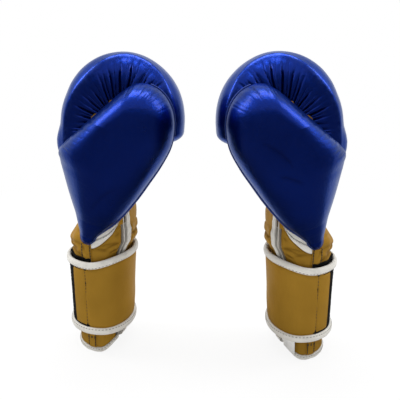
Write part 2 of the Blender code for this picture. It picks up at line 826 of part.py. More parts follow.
def seam_strip(glove):
    """The gold strip sewn over the cuff's thumb seam."""
    heights = [height for height in cuff_heights() if height < SEAM_STRIP_TOP] + [SEAM_STRIP_TOP]
    angles = steps(THUMB_SEAM - SEAM_STRIP_WIDTH / 2, THUMB_SEAM + SEAM_STRIP_WIDTH / 2, 2)
    glove.add("seam_strip", cuff_sheet(heights, angles, TRIM_OUTSIDE, CLEARANCE), gold_leather())


def thumb_gusset(glove):
    """The white wedge of leather under the thumb, over the cuff's upper edge."""
    first = THUMB_SEAM + SEAM_STRIP_WIDTH / 2 + SEAM_GAP
    angles = steps(first, GUSSET_TO, 4)
    top = CUFF_HEIGHT - CLEARANCE

    def point(share, angle, lift):
        turned = (angle - first) / (GUSSET_TO - first)
        low = GUSSET_LOW + (top - GUSSET_POINT - GUSSET_LOW) * turned * turned
        return cuff_point(low + (top - low) * share, angle, lift)

    shares = steps(0, 1, 3)
    solid = sheet(
        grid(shares, angles, lambda q, a: point(q, a, TRIM_OUTSIDE)),
        grid(shares, angles, lambda q, a: point(q, a, CLEARANCE)),
    )
    glove.add("thumb_gusset", solid, white_leather())


def loop_panel(glove):
    """The black loop fabric sewn on the back of the cuff."""
    panel = strap_band(LOOP_TO, LOOP_FROM, TRIM_OUTSIDE, CLEARANCE)
    glove.add("loop_panel", panel, black_fastener())


def strap_band(first, last, outside, inside):
    """A length of the strap between two angles, at its leather's height."""
    return cuff_sheet(steps(STRAP_EDGE_LOW, STRAP_EDGE_HIGH, 2), span(first, last), outside, inside)


def angle_past(angle, distance):
    """The angle at a distance along the strap past an angle, towards the strap's tip."""
    middle = (STRAP_LOW + STRAP_HIGH) / 2
    step = SEAM_GAP / 6
    here = cuff_point(middle, angle, PIPING_LIFT)
    gone = 0.0
    while gone < distance:
        angle -= step
        after = cuff_point(middle, angle, PIPING_LIFT)
        gone += (after - here).length
        here = after
    return angle


def piping(path):
    """A round white piping through (height, angle) places on the strap's edge."""
    centres = [cuff_point(height, angle, PIPING_LIFT) for height, angle in path]
    rings = []
    for i, (height, angle) in enumerate(path):
        along = centres[min(i + 1, len(path) - 1)] - centres[max(i - 1, 0)]
        if i in (0, len(path) - 1):
            round_cuff = cuff_point(height, angle + SEAM_GAP, 0) - cuff_point(height, angle - SEAM_GAP, 0)
            along = round_cuff if along.dot(round_cuff) > 0 else -round_cuff
        out = cuff_point(height, angle, PIPING_LIFT + PIPING_RADIUS) - centres[i]
        side = along.cross(out).normalized() * PIPING_RADIUS
        out = side.cross(along).normalized() * PIPING_RADIUS
        turns = steps(0, 2 * math.pi, 8)[:-1]
        rings.append([centres[i] + out * math.cos(t) + side * math.sin(t) for t in turns])
    return rod(rings)


def tip_piping_path(start):
    """Along the tip's lower edge, round its end and back along its upper edge."""
    reach = PIPING_RADIUS + CLEARANCE
    along = span(TIP_TO, start)[::-1]
    bends = [(reach * math.cos(t), angle_past(TIP_TO, reach * math.sin(t))) for t in steps(0, math.pi / 2, 3)]
    lower_corner = [(STRAP_EDGE_LOW - off, angle) for off, angle in bends]
    upper_corner = [(STRAP_EDGE_HIGH + off, angle) for off, angle in reversed(bends)]
    return (
        [(STRAP_LOW, angle) for angle in along[:-1]]
        + lower_corner
        + upper_corner
        + [(STRAP_HIGH, angle) for angle in reversed(along[:-1])]
    )


def wrist_strap(glove):
    """The strap: its sewn root on the pinky flap, the free length by the thumb, and the tip on the back."""
    gap = SEAM_GAP / 4
    root = strap_band(STRAP_FREE_FROM + gap, STRAP_SEWN_TO, STRAP_OUTSIDE, BACKING_INSIDE)
    glove.add("strap_root", root, gold_leather())
    free_hinge = glove.hinge("strap_hinge", STRAP_FREE_FROM)
    free = (STRAP_STITCH + gap, STRAP_FREE_FROM - gap)
    glove.add("strap", strap_band(*free, STRAP_OUTSIDE, STRAP_INSIDE), gold_leather(), free_hinge)
    backing = strap_band(*free, BACKING_INSIDE + BACKING, BACKING_INSIDE)
    glove.add("strap_backing", backing, black_fastener(), free_hinge)
    for edge, height in (("lower", STRAP_LOW), ("upper", STRAP_HIGH)):
        path = [(height, angle) for angle in span(*free)]
        glove.add(f"strap_{edge}_piping", piping(path), white_leather(), free_hinge)
    tip_hinge = glove.hinge("strap_tip_hinge", STRAP_STITCH, free_hinge)
    start = STRAP_STITCH - gap
    leather = strap_band(TIP_LEATHER_TO + gap, start, STRAP_OUTSIDE, BACKING_INSIDE)
    glove.add("strap_tip", leather, gold_leather(), tip_hinge)
    webbing = strap_band(TIP_TO, TIP_LEATHER_TO - gap, STRAP_OUTSIDE, BACKING_INSIDE)
    glove.add("strap_tip_webbing", webbing, black_fastener(), tip_hinge)
    glove.add("strap_tip_piping", piping(tip_piping_path(start)), white_leather(), tip_hinge)


def blank_tag(glove):
    """The plain white tag that hangs out at the mouth."""
    out = steps(BINDING_PROUD + CLEARANCE, BINDING_PROUD + CLEARANCE + TAG_LENGTH, 3)
    angles = steps(TAG_AT - TAG_WIDTH / 2, TAG_AT + TAG_WIDTH / 2, 3)

    def point(lift, angle, raised):
        share = (lift - out[0]) / TAG_LENGTH
        place = cuff_point(0, angle, lift)
        place.z = raised + (BINDING_HEIGHT - 2 * TAG_THICKNESS) * (1 - share) ** 2 + CLEARANCE
        return place

    solid = sheet(
        grid(out, angles, lambda d, a: point(d, a, TAG_THICKNESS)),
        grid(out, angles, lambda d, a: point(d, a, 0)),
    )
    glove.add("blank_tag", solid, white_leather())


def centre_pair(frames):
    """Moves both gloves together so that the middle of their box stands over the origin."""
    bpy.context.view_layer.update()
    corners = [
        made.matrix_world @ vertex.co
        for made in bpy.context.scene.objects
        if made.type == "MESH"
        for vertex in made.data.vertices
    ]
    for axis in (0, 1):
        ends = [corner[axis] for corner in corners]
        for frame in frames:
            frame.location[axis] -= (min(ends) + max(ends)) / 2


def build_glove(side):
    glove = Glove(side)
    for make in (
        mitt_shell,
        knuckle_foam,
        palm_panel,
        heel_pad,
        hand_lining,
        grip_bar,
        thumb_shell,
        thumb_padding,
        thumb_inner_panel,
        thumb_tether,
        cuff_panels,
        cuff_foam,
        mouth_binding,
        slit_bindings,
        seam_strip,
        thumb_gusset,
        loop_panel,
        wrist_strap,
    ):
        make(glove)
    return glove


left = build_glove("left")
right = build_glove("right")
blank_tag(right)
centre_pair([left.frame, right.frame])
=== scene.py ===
"""A pair of boxing gloves in pearly blue and gold leather, standing on their cuffs in a plain studio.

In a glove's own frame X points out of the palm, -Y to the thumb and Z from the cuff's mouth to the knuckles.
A place on the leather is a distance along the hand, up from the wrist seam, and an angle round it from the
back of the hand towards the thumb. The right glove is the left one mirrored.
"""

import math

import bmesh
import bpy
import numpy as np
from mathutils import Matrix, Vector


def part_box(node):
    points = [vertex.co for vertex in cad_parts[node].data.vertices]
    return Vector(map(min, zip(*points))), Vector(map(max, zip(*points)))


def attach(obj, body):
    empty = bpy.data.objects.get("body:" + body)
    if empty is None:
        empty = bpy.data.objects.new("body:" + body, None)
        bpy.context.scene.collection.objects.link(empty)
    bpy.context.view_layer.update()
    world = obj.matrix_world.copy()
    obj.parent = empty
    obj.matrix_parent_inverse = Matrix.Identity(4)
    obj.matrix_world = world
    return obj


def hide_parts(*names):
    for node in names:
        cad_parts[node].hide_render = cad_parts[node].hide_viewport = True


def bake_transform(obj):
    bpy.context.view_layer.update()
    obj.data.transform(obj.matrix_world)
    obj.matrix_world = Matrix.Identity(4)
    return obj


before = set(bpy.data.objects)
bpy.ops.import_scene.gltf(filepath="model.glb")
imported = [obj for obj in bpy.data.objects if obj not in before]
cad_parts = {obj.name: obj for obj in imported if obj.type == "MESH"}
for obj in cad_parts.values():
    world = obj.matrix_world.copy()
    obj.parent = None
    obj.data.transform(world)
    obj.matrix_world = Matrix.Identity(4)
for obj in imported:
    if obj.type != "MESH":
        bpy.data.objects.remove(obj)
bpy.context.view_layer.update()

MM = 0.001
DEGREE = math.pi / 180


def mm(*pairs):
    """Pairs of lengths in millimetres, as metres."""
    return np.array(pairs, float) * MM


# The gloves' sizes, as in the solids
LEATHER = 1.8 * MM
LINING = 1.0 * MM
BACKING = 1.0 * MM
CLEARANCE = 0.4 * MM
CUFF_FOAM = 4.0 * MM
CUFF_HEIGHT = 128 * MM
HAND_LENGTH = 94 * MM
CURL_RADIUS = 22 * MM
FINGER_LENGTH = 20 * MM
FINGER_END_ROUND = 11 * MM
SECTION_POWER = 2.8
CUFF_POWER = 2.0
SQUARE_FROM = -28 * MM
SQUARE_TO = 40 * MM
PALM_SEAM = 116 * DEGREE
GRIP_BAR_RADIUS = 4.5 * MM
GRIP_BAR_LENGTH = 50 * MM
GRIP_BAR_HEIGHT = 72 * MM

# Half sizes of the hand's pocket and thicknesses of the padding, each along the hand: towards the back, the
# palm, the thumb and the little finger
POCKET = [
    mm((-128, 20.5), (-37, 23), (-20, 25.5), (0, 17), (40, 14), (94, 13), (128, 11), (183, 10)),
    mm((-128, 11.5), (-37, 15.5), (-20, 22.5), (0, 23), (40, 17), (80, 13), (110, 11), (183, 10)),
    mm((-128, 32), (-34, 34), (0, 33.5), (94, 34), (183, 34)),
    mm((-128, 32), (-34, 34), (0, 33.5), (60, 37), (120, 38), (183, 36)),
]
PADDING = [
    mm((0, 4), (40, 15), (80, 24), (111, 30), (128, 31), (146, 27), (163, 22.5), (183, 21)),
    mm((0, 4), (40, 2.5), (75, 0.8), (183, 0.8)),
    mm((0, 4), (50, 5.5), (183, 6)),
    mm((0, 4), (60, 8), (183, 8)),
]

# The thumb seen from its side, round its edge from the point at the wrist up the hand's back, as (towards the
# palm, height), with the line that its roundness follows and how far it stands out along that line
THUMB_OUTLINE = mm(
    (-9.5, 112.5), (-16, 115), (-19, 126), (-28, 158), (-35.5, 186), (-37, 198), (-29, 207), (-17, 217),
    (0, 231.5), (16, 245), (28, 254.5), (40, 260.5), (52, 259), (62, 252.5), (69.5, 241), (72.5, 226),
    (69.5, 206), (60, 188), (48, 171), (36, 155), (18, 135), (0, 121), (-4.5, 115),
)
THUMB_SPINE = mm((-9, 120), (24, 222))
THUMB_BULGE = mm((113, 5), (128, 14), (155, 30), (188, 42), (215, 44), (261, 43))
THUMB_POWER = 2.3
THUMB_FLAT_FROM = 34 * MM
THUMB_GAP_ROOT = 1.4 * MM
THUMB_GAP_TIP = 5 * MM
THUMB_GAP_FROM = 170 * MM
THUMB_GAP_TO = 245 * MM
TETHER_HEIGHT = 236 * MM
TETHER_ACROSS = 42 * MM
TETHER_WIDTH = 12 * MM
TETHER_LENGTH = 10 * MM

# The cuff and the strap
THUMB_SEAM = 68 * DEGREE
PINKY_SEAM = -90 * DEGREE
SLIT_AT = 139 * DEGREE
SLIT_HALF = 5 * DEGREE
SLIT_BINDING_WIDTH = 5 * DEGREE
SEAM_GAP = 0.75 * DEGREE
BINDING_HEIGHT = 5 * MM
BINDING_PROUD = 1.2 * MM
SEAM_STRIP_HALF = 9 * DEGREE
SEAM_STRIP_TOP = 111 * MM
BAR_TACK = 12 * MM
GUSSET_LOW = 107 * MM
GUSSET_TO = 122 * DEGREE
STRAP_LOW = 20 * MM
STRAP_HIGH = 91 * MM
PIPING_RADIUS = 2.9 * MM
PIPING_PROUD = 2.5 * MM
PIPING_HALF = 3.5 * MM
STRAP_EASE = 1.5 * MM
STRAP_FREE_FROM = 198 * DEGREE
STRAP_SEWN_TO = 262 * DEGREE
STRAP_PARTED = 135 * DEGREE
STRAP_STITCH = 70 * DEGREE
STITCH_LINE = 67 * DEGREE
TIP_LEATHER_TO = 42 * DEGREE
TIP_TO = -38 * DEGREE
LOOP_TOP_FROM = 75 * DEGREE
LOOP_TOP = 97 * MM
LOOP_TO = -52 * DEGREE
TRIM = 1.0 * MM
TAG_AT = 116 * DEGREE
TAG_WIDTH = 26 * DEGREE
TAG_LENGTH = 17 * MM
TAG_LEAN = 6 * MM
TAG_THICKNESS = 0.6 * MM

# Sizes that follow from these
CURL_HEIGHT = CUFF_HEIGHT + HAND_LENGTH
FINGER_START = HAND_LENGTH + math.pi * CURL_RADIUS
FINGER_END = FINGER_START + FINGER_LENGTH
PALM_END = FINGER_END - FINGER_END_ROUND
LAYERS = LINING + 2 * CLEARANCE + LEATHER
TRIM_OUTSIDE = CLEARANCE + TRIM
BACKING_INSIDE = TRIM_OUTSIDE + CLEARANCE
STRAP_INSIDE = BACKING_INSIDE + BACKING + CLEARANCE + STRAP_EASE
STRAP_OUTSIDE = STRAP_INSIDE + LEATHER
PIPING_LIFT = TRIM_OUTSIDE + CLEARANCE + PIPING_RADIUS + STRAP_EASE
STRAP_EDGE_LOW = STRAP_LOW + PIPING_RADIUS + CLEARANCE
STRAP_EDGE_HIGH = STRAP_HIGH - PIPING_RADIUS - CLEARANCE
BESIDE_SLIT = SLIT_HALF + SLIT_BINDING_WIDTH + SEAM_GAP

# Metres of leather for each radian round the cuff and round the palm
CUFF_ROUND = 0.036
PALM_ROUND = 0.03

# Edges that turn by more than this are shaded sharp
SHARP_FROM = 55 * DEGREE


def smooth(x, low, high):
    """0 below low, 1 above high, and an S curve between."""
    t = np.clip((x - low) / (high - low), 0, 1)
    return t * t * (3 - 2 * t)


def hump(x, centre, width):
    """1 at the centre, falling away to both sides."""
    return np.exp(-(((x - centre) / width) ** 2))


def through(knots, x):
    """A curve through the knots that never swings past them."""
    xs, ys = knots.T
    widths = np.diff(xs)
    slopes = np.diff(ys) / widths
    before, after = slopes[:-1], slopes[1:]
    runs_on = before * after > 0
    inner = np.where(runs_on, 2 * before * after / np.where(runs_on, before + after, 1), 0)
    tangents = np.concatenate([slopes[:1], inner, slopes[-1:]])
    x = np.clip(x, xs[0], xs[-1])
    i = np.clip(np.searchsorted(xs, x, side="right") - 1, 0, len(widths) - 1)
    t = (x - xs[i]) / widths[i]
    return (
        ys[i] * (1 + 2 * t) * (1 - t) ** 2
        + ys[i + 1] * t * t * (3 - 2 * t)
        + widths[i] * tangents[i] * t * (1 - t) ** 2
        - widths[i] * tangents[i + 1] * t * t * (1 - t)
    )


def signed_power(value, power):
    return np.copysign(np.abs(value) ** power, value)


def squareness(s):
    """The power of a section's rounding: an ellipse on the cuff, squarer on the hand."""
    return CUFF_POWER + (SECTION_POWER - CUFF_POWER) * smooth(s, SQUARE_FROM, SQUARE_TO)


def section(halves, angle, grow, power):
    """(outwards, sideways) on a rounded section."""
    back, palm, thumb, pinky = halves
    across = signed_power(np.cos(angle), 2 / power)
    along = signed_power(np.sin(angle), 2 / power)
    return (
        (np.where(across >= 0, back, palm) + grow) * across,
        -(np.where(along >= 0, thumb, pinky) + grow) * along,
    )


def pocket_halves(s):
    return [through(half, s) for half in POCKET]


def leather_halves(s):
    """Half sizes of the leather's outside."""
    pads = [np.where(s < 0, CUFF_FOAM, through(pad, s)) for pad in PADDING]
    return [half + pad + LAYERS for half, pad in zip(pocket_halves(s), pads)]


def on_path(s, outwards, sideways):
    """Points beside the hand's path: up the cuff and the hand, round the curl and down the fingers."""
    turn = np.clip((s - HAND_LENGTH) / CURL_RADIUS, 0, math.pi)
    reach = CURL_RADIUS + outwards
    straight = np.minimum(s - HAND_LENGTH, 0) - np.maximum(s - FINGER_START, 0)
    across = CURL_RADIUS - reach * np.cos(turn)
    height = CURL_HEIGHT + reach * np.sin(turn) + straight
    return np.stack(np.broadcast_arrays(across, sideways, height), axis=-1)


def leather(s, angle, lift=0.0):
    """Points on the leather's outside, or lifted off it. The fingers end in a dome."""
    s, angle, lift = np.broadcast_arrays(np.asarray(s, float), angle, lift)
    halves = leather_halves(s)
    outwards, sideways = section(halves, angle, lift, squareness(s))
    share = np.clip((s - PALM_END) / FINGER_END_ROUND, 0, 1)
    close = np.sqrt(1 - share * share)
    middle = (halves[0] - halves[1]) / 2
    return on_path(s + lift * share, middle + (outwards - middle) * close, sideways * close)


def pocket(s, angle, grow=0.0):
    """Points on the wall of the hand's pocket, or outside it."""
    s, angle, grow = np.broadcast_arrays(np.asarray(s, float), angle, grow)
    return on_path(s, *section(pocket_halves(s), angle, grow, squareness(s)))


def cuff(height, angle, lift=0.0):
    """Points on the cuff's outside, or lifted off it."""
    return leather(np.asarray(height, float) - CUFF_HEIGHT, angle, lift)


def side_reach(across, height):
    """How far the glove's body reaches towards the thumb at a place seen from the thumb side."""
    over = height > CURL_HEIGHT
    beyond = (across > CURL_RADIUS) & ~over
    turn = np.arctan2(height - CURL_HEIGHT, CURL_RADIUS - across)
    from_curl = np.hypot(height - CURL_HEIGHT, across - CURL_RADIUS) - CURL_RADIUS
    s = np.where(beyond, FINGER_START + CURL_HEIGHT - height, height - CUFF_HEIGHT)
    s = np.where(over, HAND_LENGTH + turn * CURL_RADIUS, s)
    outwards = np.where(over, from_curl, np.where(beyond, across - 2 * CURL_RADIUS, -across))
    lift = TRIM_OUTSIDE * (1 - smooth(s, 0, 16 * MM))
    back, palm, thumb, _ = [half + lift for half in leather_halves(s)]
    share = np.abs(outwards) / np.where(outwards >= 0, back, palm)
    reach = thumb * np.maximum(0, 1 - share ** squareness(s)) ** (1 / squareness(s))
    return np.where(beyond & (s > FINGER_END), 0, reach)


THUMB_ROOT_REACH = float(leather_halves(np.linspace(0, HAND_LENGTH, 9))[2].max())


def thumb_base(across, height):
    """How far out the thumb's inner side lies: round the mitt's edge at the back, flat towards the palm."""
    flat = THUMB_ROOT_REACH * smooth(across, -THUMB_FLAT_FROM, 0)
    widening = smooth(height, THUMB_GAP_FROM, THUMB_GAP_TO)
    gap = THUMB_GAP_ROOT + (THUMB_GAP_TIP - THUMB_GAP_ROOT) * widening
    return np.maximum(side_reach(across, height), flat) + gap


class Socket:
    """An output of a node. Sums on it add Math nodes."""

    def __init__(self, nodes, output):
        self.nodes, self.output = nodes, output

    def beside(self, name):
        """Another output of the same node."""
        return Socket(self.nodes, self.output.node.outputs[name])

    def maths(self, operation, first, second):
        return self.nodes.node("ShaderNodeMath", {"operation": operation}, {0: first, 1: second})

    def __add__(self, other):
        return self.maths("ADD", self, other)

    def __sub__(self, other):
        return self.maths("SUBTRACT", self, other)

    def __rsub__(self, other):
        return self.maths("SUBTRACT", other, self)

    def __mul__(self, other):
        return self.maths("MULTIPLY", self, other)

    __radd__ = __add__


class Nodes:
    """A node tree in the making."""

    def __init__(self, tree):
        self.tree = tree

    def node(self, kind, settings, sockets, output=0):
        """Adds a node: its settings first, then the values or links of its sockets."""
        made = self.tree.nodes.new(kind)
        for name, value in settings.items():
            setattr(made, name, value)
        for key, value in sockets.items():
            self.join(made.inputs[key], value)
        return Socket(self, made.outputs[output])

    def join(self, socket, value):
        if isinstance(value, Socket):
            self.tree.links.new(value.output, socket)
        else:
            socket.default_value = value

    def seen(self):
        """1 on rays from the camera, and on mirrored and passing ones."""
        camera = self.node("ShaderNodeLightPath", {}, {}, "Is Camera Ray")
        return camera + camera.beside("Is Glossy Ray") + camera.beside("Is Transmission Ray")


class Paint(Nodes):
    """A material in the making, with its Principled shader."""

    def __init__(self, name, **constants):
        self.material = bpy.data.materials.new(name)
        self.material.use_nodes = True
        super().__init__(self.material.node_tree)
        self.shader = self.tree.nodes["Principled BSDF"]
        self.drive(**constants)

    def drive(self, **sockets):
        """Sets the shader's sockets, or links what changes over the surface to them."""
        for socket, value in sockets.items():
            self.join(self.shader.inputs[socket.replace("_", " ").title()], value)

    def places(self):
        return self.node("ShaderNodeTexCoord", {}, {}, "Object")

    def noise(self, scale, detail=2.0, roughness=0.5, at=None):
        sockets = {"Vector": at or self.places(), "Scale": scale, "Detail": detail, "Roughness": roughness}
        return self.node("ShaderNodeTexNoise", {}, sockets, "Fac")

    def cells(self, scale):
        sockets = {"Vector": self.places(), "Scale": scale}
        return self.node("ShaderNodeTexVoronoi", {"feature": "F1"}, sockets, "Distance")

    def mark(self, name):
        """A value that the mesh carries at each point."""
        return self.node("ShaderNodeAttribute", {"attribute_name": name}, {}, "Fac")

    def mix(self, share, first, second):
        """A colour between two, each plain or from a node."""
        first, second = ((*c, 1) if isinstance(c, tuple) else c for c in (first, second))
        settings = {"data_type": "RGBA", "clamp_factor": True}
        return self.node("ShaderNodeMix", settings, {0: share, 6: first, 7: second}, 2)

    def ramp(self, value, low, high):
        """0 where the value is low and 1 where it is high."""
        sockets = {"Value": value, "From Min": low, "From Max": high}
        return self.node("ShaderNodeMapRange", {"clamp": True}, sockets)

    def bump(self, height, distance, under=None):
        sockets = {"Height": height, "Strength": 1.0, "Distance": distance}
        if under:
            sockets["Normal"] = under
        return self.node("ShaderNodeBump", {}, sockets)


def leather_paint(name, deep, plain, worn_and_highlight, roughness, metallic, coat, rim, level):
    """A pearly leather: a slow drift of its dye, painted shade in creases, rubbed edges with a painted
    highlight and a fine pebbled grain.
    rim tints what it mirrors at a slant, and level sets how much its plain dye mirrors."""
    paint = Paint(name, metallic=metallic, coat_weight=coat, coat_roughness=0.14, specular_tint=(*rim, 1))
    paint.shader.inputs["Specular IOR Level"].default_value = level
    drift = paint.ramp(paint.noise(16, 3), 0.3, 0.7)
    painted_shade, rub_and_highlight = paint.mark("painted_shade"), paint.mark("rub_and_highlight")
    # deep is the dye's darker tone, and also the colour of the painted shade in the creases
    dye_with_painted_light = paint.mix(drift * 0.45, plain, deep)
    # Painted shade: darker towards deep in the creases and hollows that the mesh marks
    dye_with_painted_light = paint.mix(painted_shade * 0.85, dye_with_painted_light, deep)
    # Rubbed wear and a painted highlight: lighter, in patches, where the mesh marks the ridge and the thumb's
    # upper edge
    dye_with_painted_light = paint.mix(rub_and_highlight * paint.ramp(paint.noise(220, 3), 0.35, 0.7) * 0.5, dye_with_painted_light, worn_and_highlight)
    grain = paint.cells(1150) * 0.7 + paint.noise(1900, 2) * 0.5
    creases = paint.ramp(paint.noise(240, 4, 0.6), 0.45, 0.62)
    finish = roughness + (paint.noise(60, 3) - 0.5) * 0.12 + painted_shade * 0.12
    rough = paint.bump(grain, 0.00007, paint.bump(creases, 0.00006))
    paint.drive(base_color=dye_with_painted_light, roughness=finish, normal=rough)
    return paint.material


def white_paint(name, plain, soiled_and_shaded, roughness):
    """White leather: a soft grain, a little grey at random, and painted shade in its folds."""
    paint = Paint(name)
    # Grey at random, plus painted shade in the folds that the mesh marks
    greying = paint.ramp(paint.noise(90, 4, 0.6), 0.48, 0.8) * 0.5 + paint.mark("painted_shade") * 0.8
    grain = paint.cells(1300) * 0.6 + paint.noise(700, 3) * 0.6
    paint.drive(
        base_color=paint.mix(greying, plain, soiled_and_shaded),
        roughness=roughness + (paint.noise(150, 2) - 0.5) * 0.15,
        normal=paint.bump(grain, 0.00008),
    )
    return paint.material


def pile_paint(name, dark, pale, scale):
    """Hook or loop fabric: short crooked pile with dusty tips."""
    paint = Paint(name, roughness=0.92)
    paint.shader.inputs["Specular IOR Level"].default_value = 0.1
    tufts = paint.noise(scale, 4, 0.75)
    paint.drive(
        base_color=paint.mix(paint.ramp(tufts, 0.5, 0.75), dark, pale),
        normal=paint.bump(tufts + paint.cells(scale * 0.8) * 0.6, 0.0005),
    )
    return paint.material


def woven_paint(name, plain, shaded, pitch, depth):
    """A plain weave that follows the cloth's own coordinates."""
    paint = Paint(name, roughness=0.85)
    cloth = paint.node("ShaderNodeUVMap", {"uv_map": "cloth"}, {})
    across = paint.node("ShaderNodeSeparateXYZ", {}, {0: cloth}, "X")
    waves = [
        paint.node("ShaderNodeMath", {"operation": "SINE"}, {0: axis * (2 * math.pi / pitch)})
        for axis in (across, across.beside("Y"))
    ]
    weave = waves[0] * waves[1] * 0.5 + 0.5
    greying = paint.ramp(paint.noise(45, 4), 0.45, 0.75) * 0.35
    paint.drive(
        base_color=paint.mix((1 - weave) * 0.4 + greying, plain, shaded),
        normal=paint.bump(weave + paint.noise(1500, 2) * 0.3, depth),
    )
    return paint.material


def thread_paint(name, plain, shaded):
    """Sewing thread with a little twist in its shade."""
    paint = Paint(name, roughness=0.6)
    twist = paint.noise(2600, 2)
    paint.drive(base_color=paint.mix(twist, plain, shaded), normal=paint.bump(twist, 0.0001))
    return paint.material


BLUE = leather_paint(
    "blue_leather", (0.0015, 0.01, 0.11), (0.003, 0.021, 0.22), (0.04, 0.085, 0.36),
    roughness=0.3, metallic=0.95, coat=0.12, rim=(0.52, 0.62, 0.85), level=0.25,
)
# The welt is the blue leather in lighter, greyer colours: a painted highlight on the thumb's rolled trims
HIGHLIT_WELT = leather_paint(
    "welt_leather_highlit", (0.01, 0.02, 0.1), (0.03, 0.055, 0.24), (0.12, 0.16, 0.36),
    roughness=0.4, metallic=0.6, coat=0.0, rim=(0.5, 0.56, 0.85), level=0.25,
)
GOLD = leather_paint(
    "gold_leather", (0.19, 0.099, 0.011), (0.41, 0.223, 0.029), (0.54, 0.36, 0.1),
    roughness=0.46, metallic=0.35, coat=0.02, rim=(0.75, 0.55, 0.25), level=0.07,
)
WHITE = white_paint("white_leather", (0.66, 0.64, 0.59), (0.38, 0.36, 0.33), 0.45)
PILE = pile_paint("black_pile", (0.003, 0.003, 0.0035), (0.017, 0.017, 0.019), 900)
LINING_CLOTH = woven_paint("lining_cloth", (0.6, 0.59, 0.56), (0.33, 0.32, 0.3), 1.1 * MM, 0.0002)
TAG_CLOTH = woven_paint("tag_cloth", (0.78, 0.77, 0.75), (0.6, 0.59, 0.57), 0.5 * MM, 0.00008)
BLACK_THREAD = thread_paint("black_thread", (0.006, 0.006, 0.008), (0.03, 0.03, 0.035))
GREY_THREAD = thread_paint("grey_thread", (0.3, 0.28, 0.25), (0.14, 0.13, 0.12))


def run(points):
    """Distances along a line of points."""
    return np.concatenate([[0], np.cumsum(np.linalg.norm(np.diff(points, axis=0), axis=1))])


def cell_corners(grid):
    """What a grid holds at the four corners of each of its cells."""
    low, high = slice(0, -1), slice(1, None)
    corners = ((low, low), (low, high), (high, high), (high, low))
    return np.stack([grid[c].reshape(-1, *grid.shape[2:]) for c in corners], axis=1)


def shell(outside, inside, painted_shade=None, rub_and_highlight=None, joined_from=None, capped=False):
    """A closed solid between two grids of points. From row joined_from on, its last column is its first, and
    capped closes its last row. The outside carries painted shade in creases and a painted highlight with
    wear."""
    rows, columns = outside.shape[:2]
    count = rows * columns
    index = np.arange(count).reshape(rows, columns)
    open_rows = rows if joined_from is None else joined_from + 1
    if joined_from is not None:
        index[joined_from:, -1] = index[joined_from:, 0]
    across = run(outside[rows // 3])
    along = run(outside[:, columns // 2])
    cloth = np.stack(np.meshgrid(across, along), axis=-1)
    quads, laid = cell_corners(index), cell_corners(cloth)
    blocks = [(quads, laid), (quads[:, ::-1] + count, laid[:, ::-1])]
    flat = cloth.reshape(-1, 2)
    rims = [index[0], index[:open_rows, 0], index[:open_rows, -1]] + ([] if capped else [index[-1]])
    for rim in rims:
        rim = np.concatenate([rim[:1], rim[1:][np.diff(rim) != 0]])
        if len(rim) > 1:
            strip = np.stack([rim[:-1], rim[1:], rim[1:] + count, rim[:-1] + count], axis=1)
            blocks.append((strip, flat[strip % count]))
    if capped:
        ring = index[-1, :-1] if joined_from is not None else index[-1]
        for side in (ring, ring + count):
            blocks.append((side[None, :], flat[side % count][None, :]))
    points = np.concatenate([outside.reshape(-1, 3), inside.reshape(-1, 3)])
    marks = {}
    for name, values in (("painted_shade", painted_shade), ("rub_and_highlight", rub_and_highlight)):
        grid = np.zeros((rows, columns)) if values is None else np.broadcast_to(values, (rows, columns))
        marks[name] = np.concatenate([grid.ravel(), np.zeros(count)])
    return points, blocks, marks


def loft(rings, round_ends=0.0):
    """A closed solid through rings of points. round_ends draws the ends in to a blunt round."""
    rings = np.asarray(rings, float)
    if round_ends:
        ends = []
        for end, after in ((rings[0], rings[1]), (rings[-1], rings[-2])):
            centre = end.mean(axis=0)
            ahead = centre - after.mean(axis=0)
            ahead *= round_ends / np.linalg.norm(ahead)
            turns = (30 * DEGREE, 55 * DEGREE, 75 * DEGREE)
            ends.append([centre + (end - centre) * math.cos(t) + ahead * math.sin(t) for t in turns])
        rings = np.concatenate([ends[0][::-1], rings, ends[1]])
    rows, columns = rings.shape[:2]
    index = np.arange(rows * columns).reshape(rows, columns)
    wrapped = np.hstack([index, index[:, :1]])
    across = run(np.vstack([rings[rows // 2], rings[rows // 2][:1]]))
    along = run(rings.mean(axis=1))
    cloth = np.stack(np.meshgrid(across, along), axis=-1)
    blocks = [(cell_corners(wrapped), cell_corners(cloth))]
    for row in (0, -1):
        blocks.append((index[row][None, :], cloth[row, :-1][None, :]))
    marks = {name: np.zeros(rows * columns) for name in ("painted_shade", "rub_and_highlight")}
    return rings.reshape(-1, 3), blocks, marks


def tube(centres, outwards, radius, sides, wide=1.0):
    """A round cord of leather along a line of points. outwards says which way its first side faces, and wide
    flattens it."""
    centres = np.asarray(centres, float)
    along = np.gradient(centres, axis=0)
    along /= np.linalg.norm(along, axis=1, keepdims=True)
    side = np.cross(along, outwards)
    side /= np.linalg.norm(side, axis=1, keepdims=True)
    out = np.cross(side, along)
    radius = np.broadcast_to(radius, len(centres))[:, None, None]
    turns = np.linspace(0, 2 * math.pi, sides, endpoint=False)[None, :, None]
    rings = centres[:, None] + radius * (out[:, None] * np.cos(turns) + wide * side[:, None] * np.sin(turns))
    return loft(rings, float(radius[0, 0, 0]))


# The mouth is cut on a slant: it rises towards the palm, and the cuff closes up under the strap
MOUTH_RISE = 12 * MM
MOUTH_RISE_FROM = -4 * MM
MOUTH_RISE_TO = 19 * MM
MOUTH_RISE_TOP = STRAP_LOW - PIPING_HALF
# The strap's lower edge sits higher than straight round the cuff, and its upper edge rises towards the palm
STRAP_LIFT = 5 * MM
STRAP_LIFT_TO = 80 * MM
STRAP_TILT = 6 * MM
STRAP_TILT_FROM = -12 * MM
STRAP_TILT_TO = 24 * MM
STRAP_TILT_END = 124 * MM


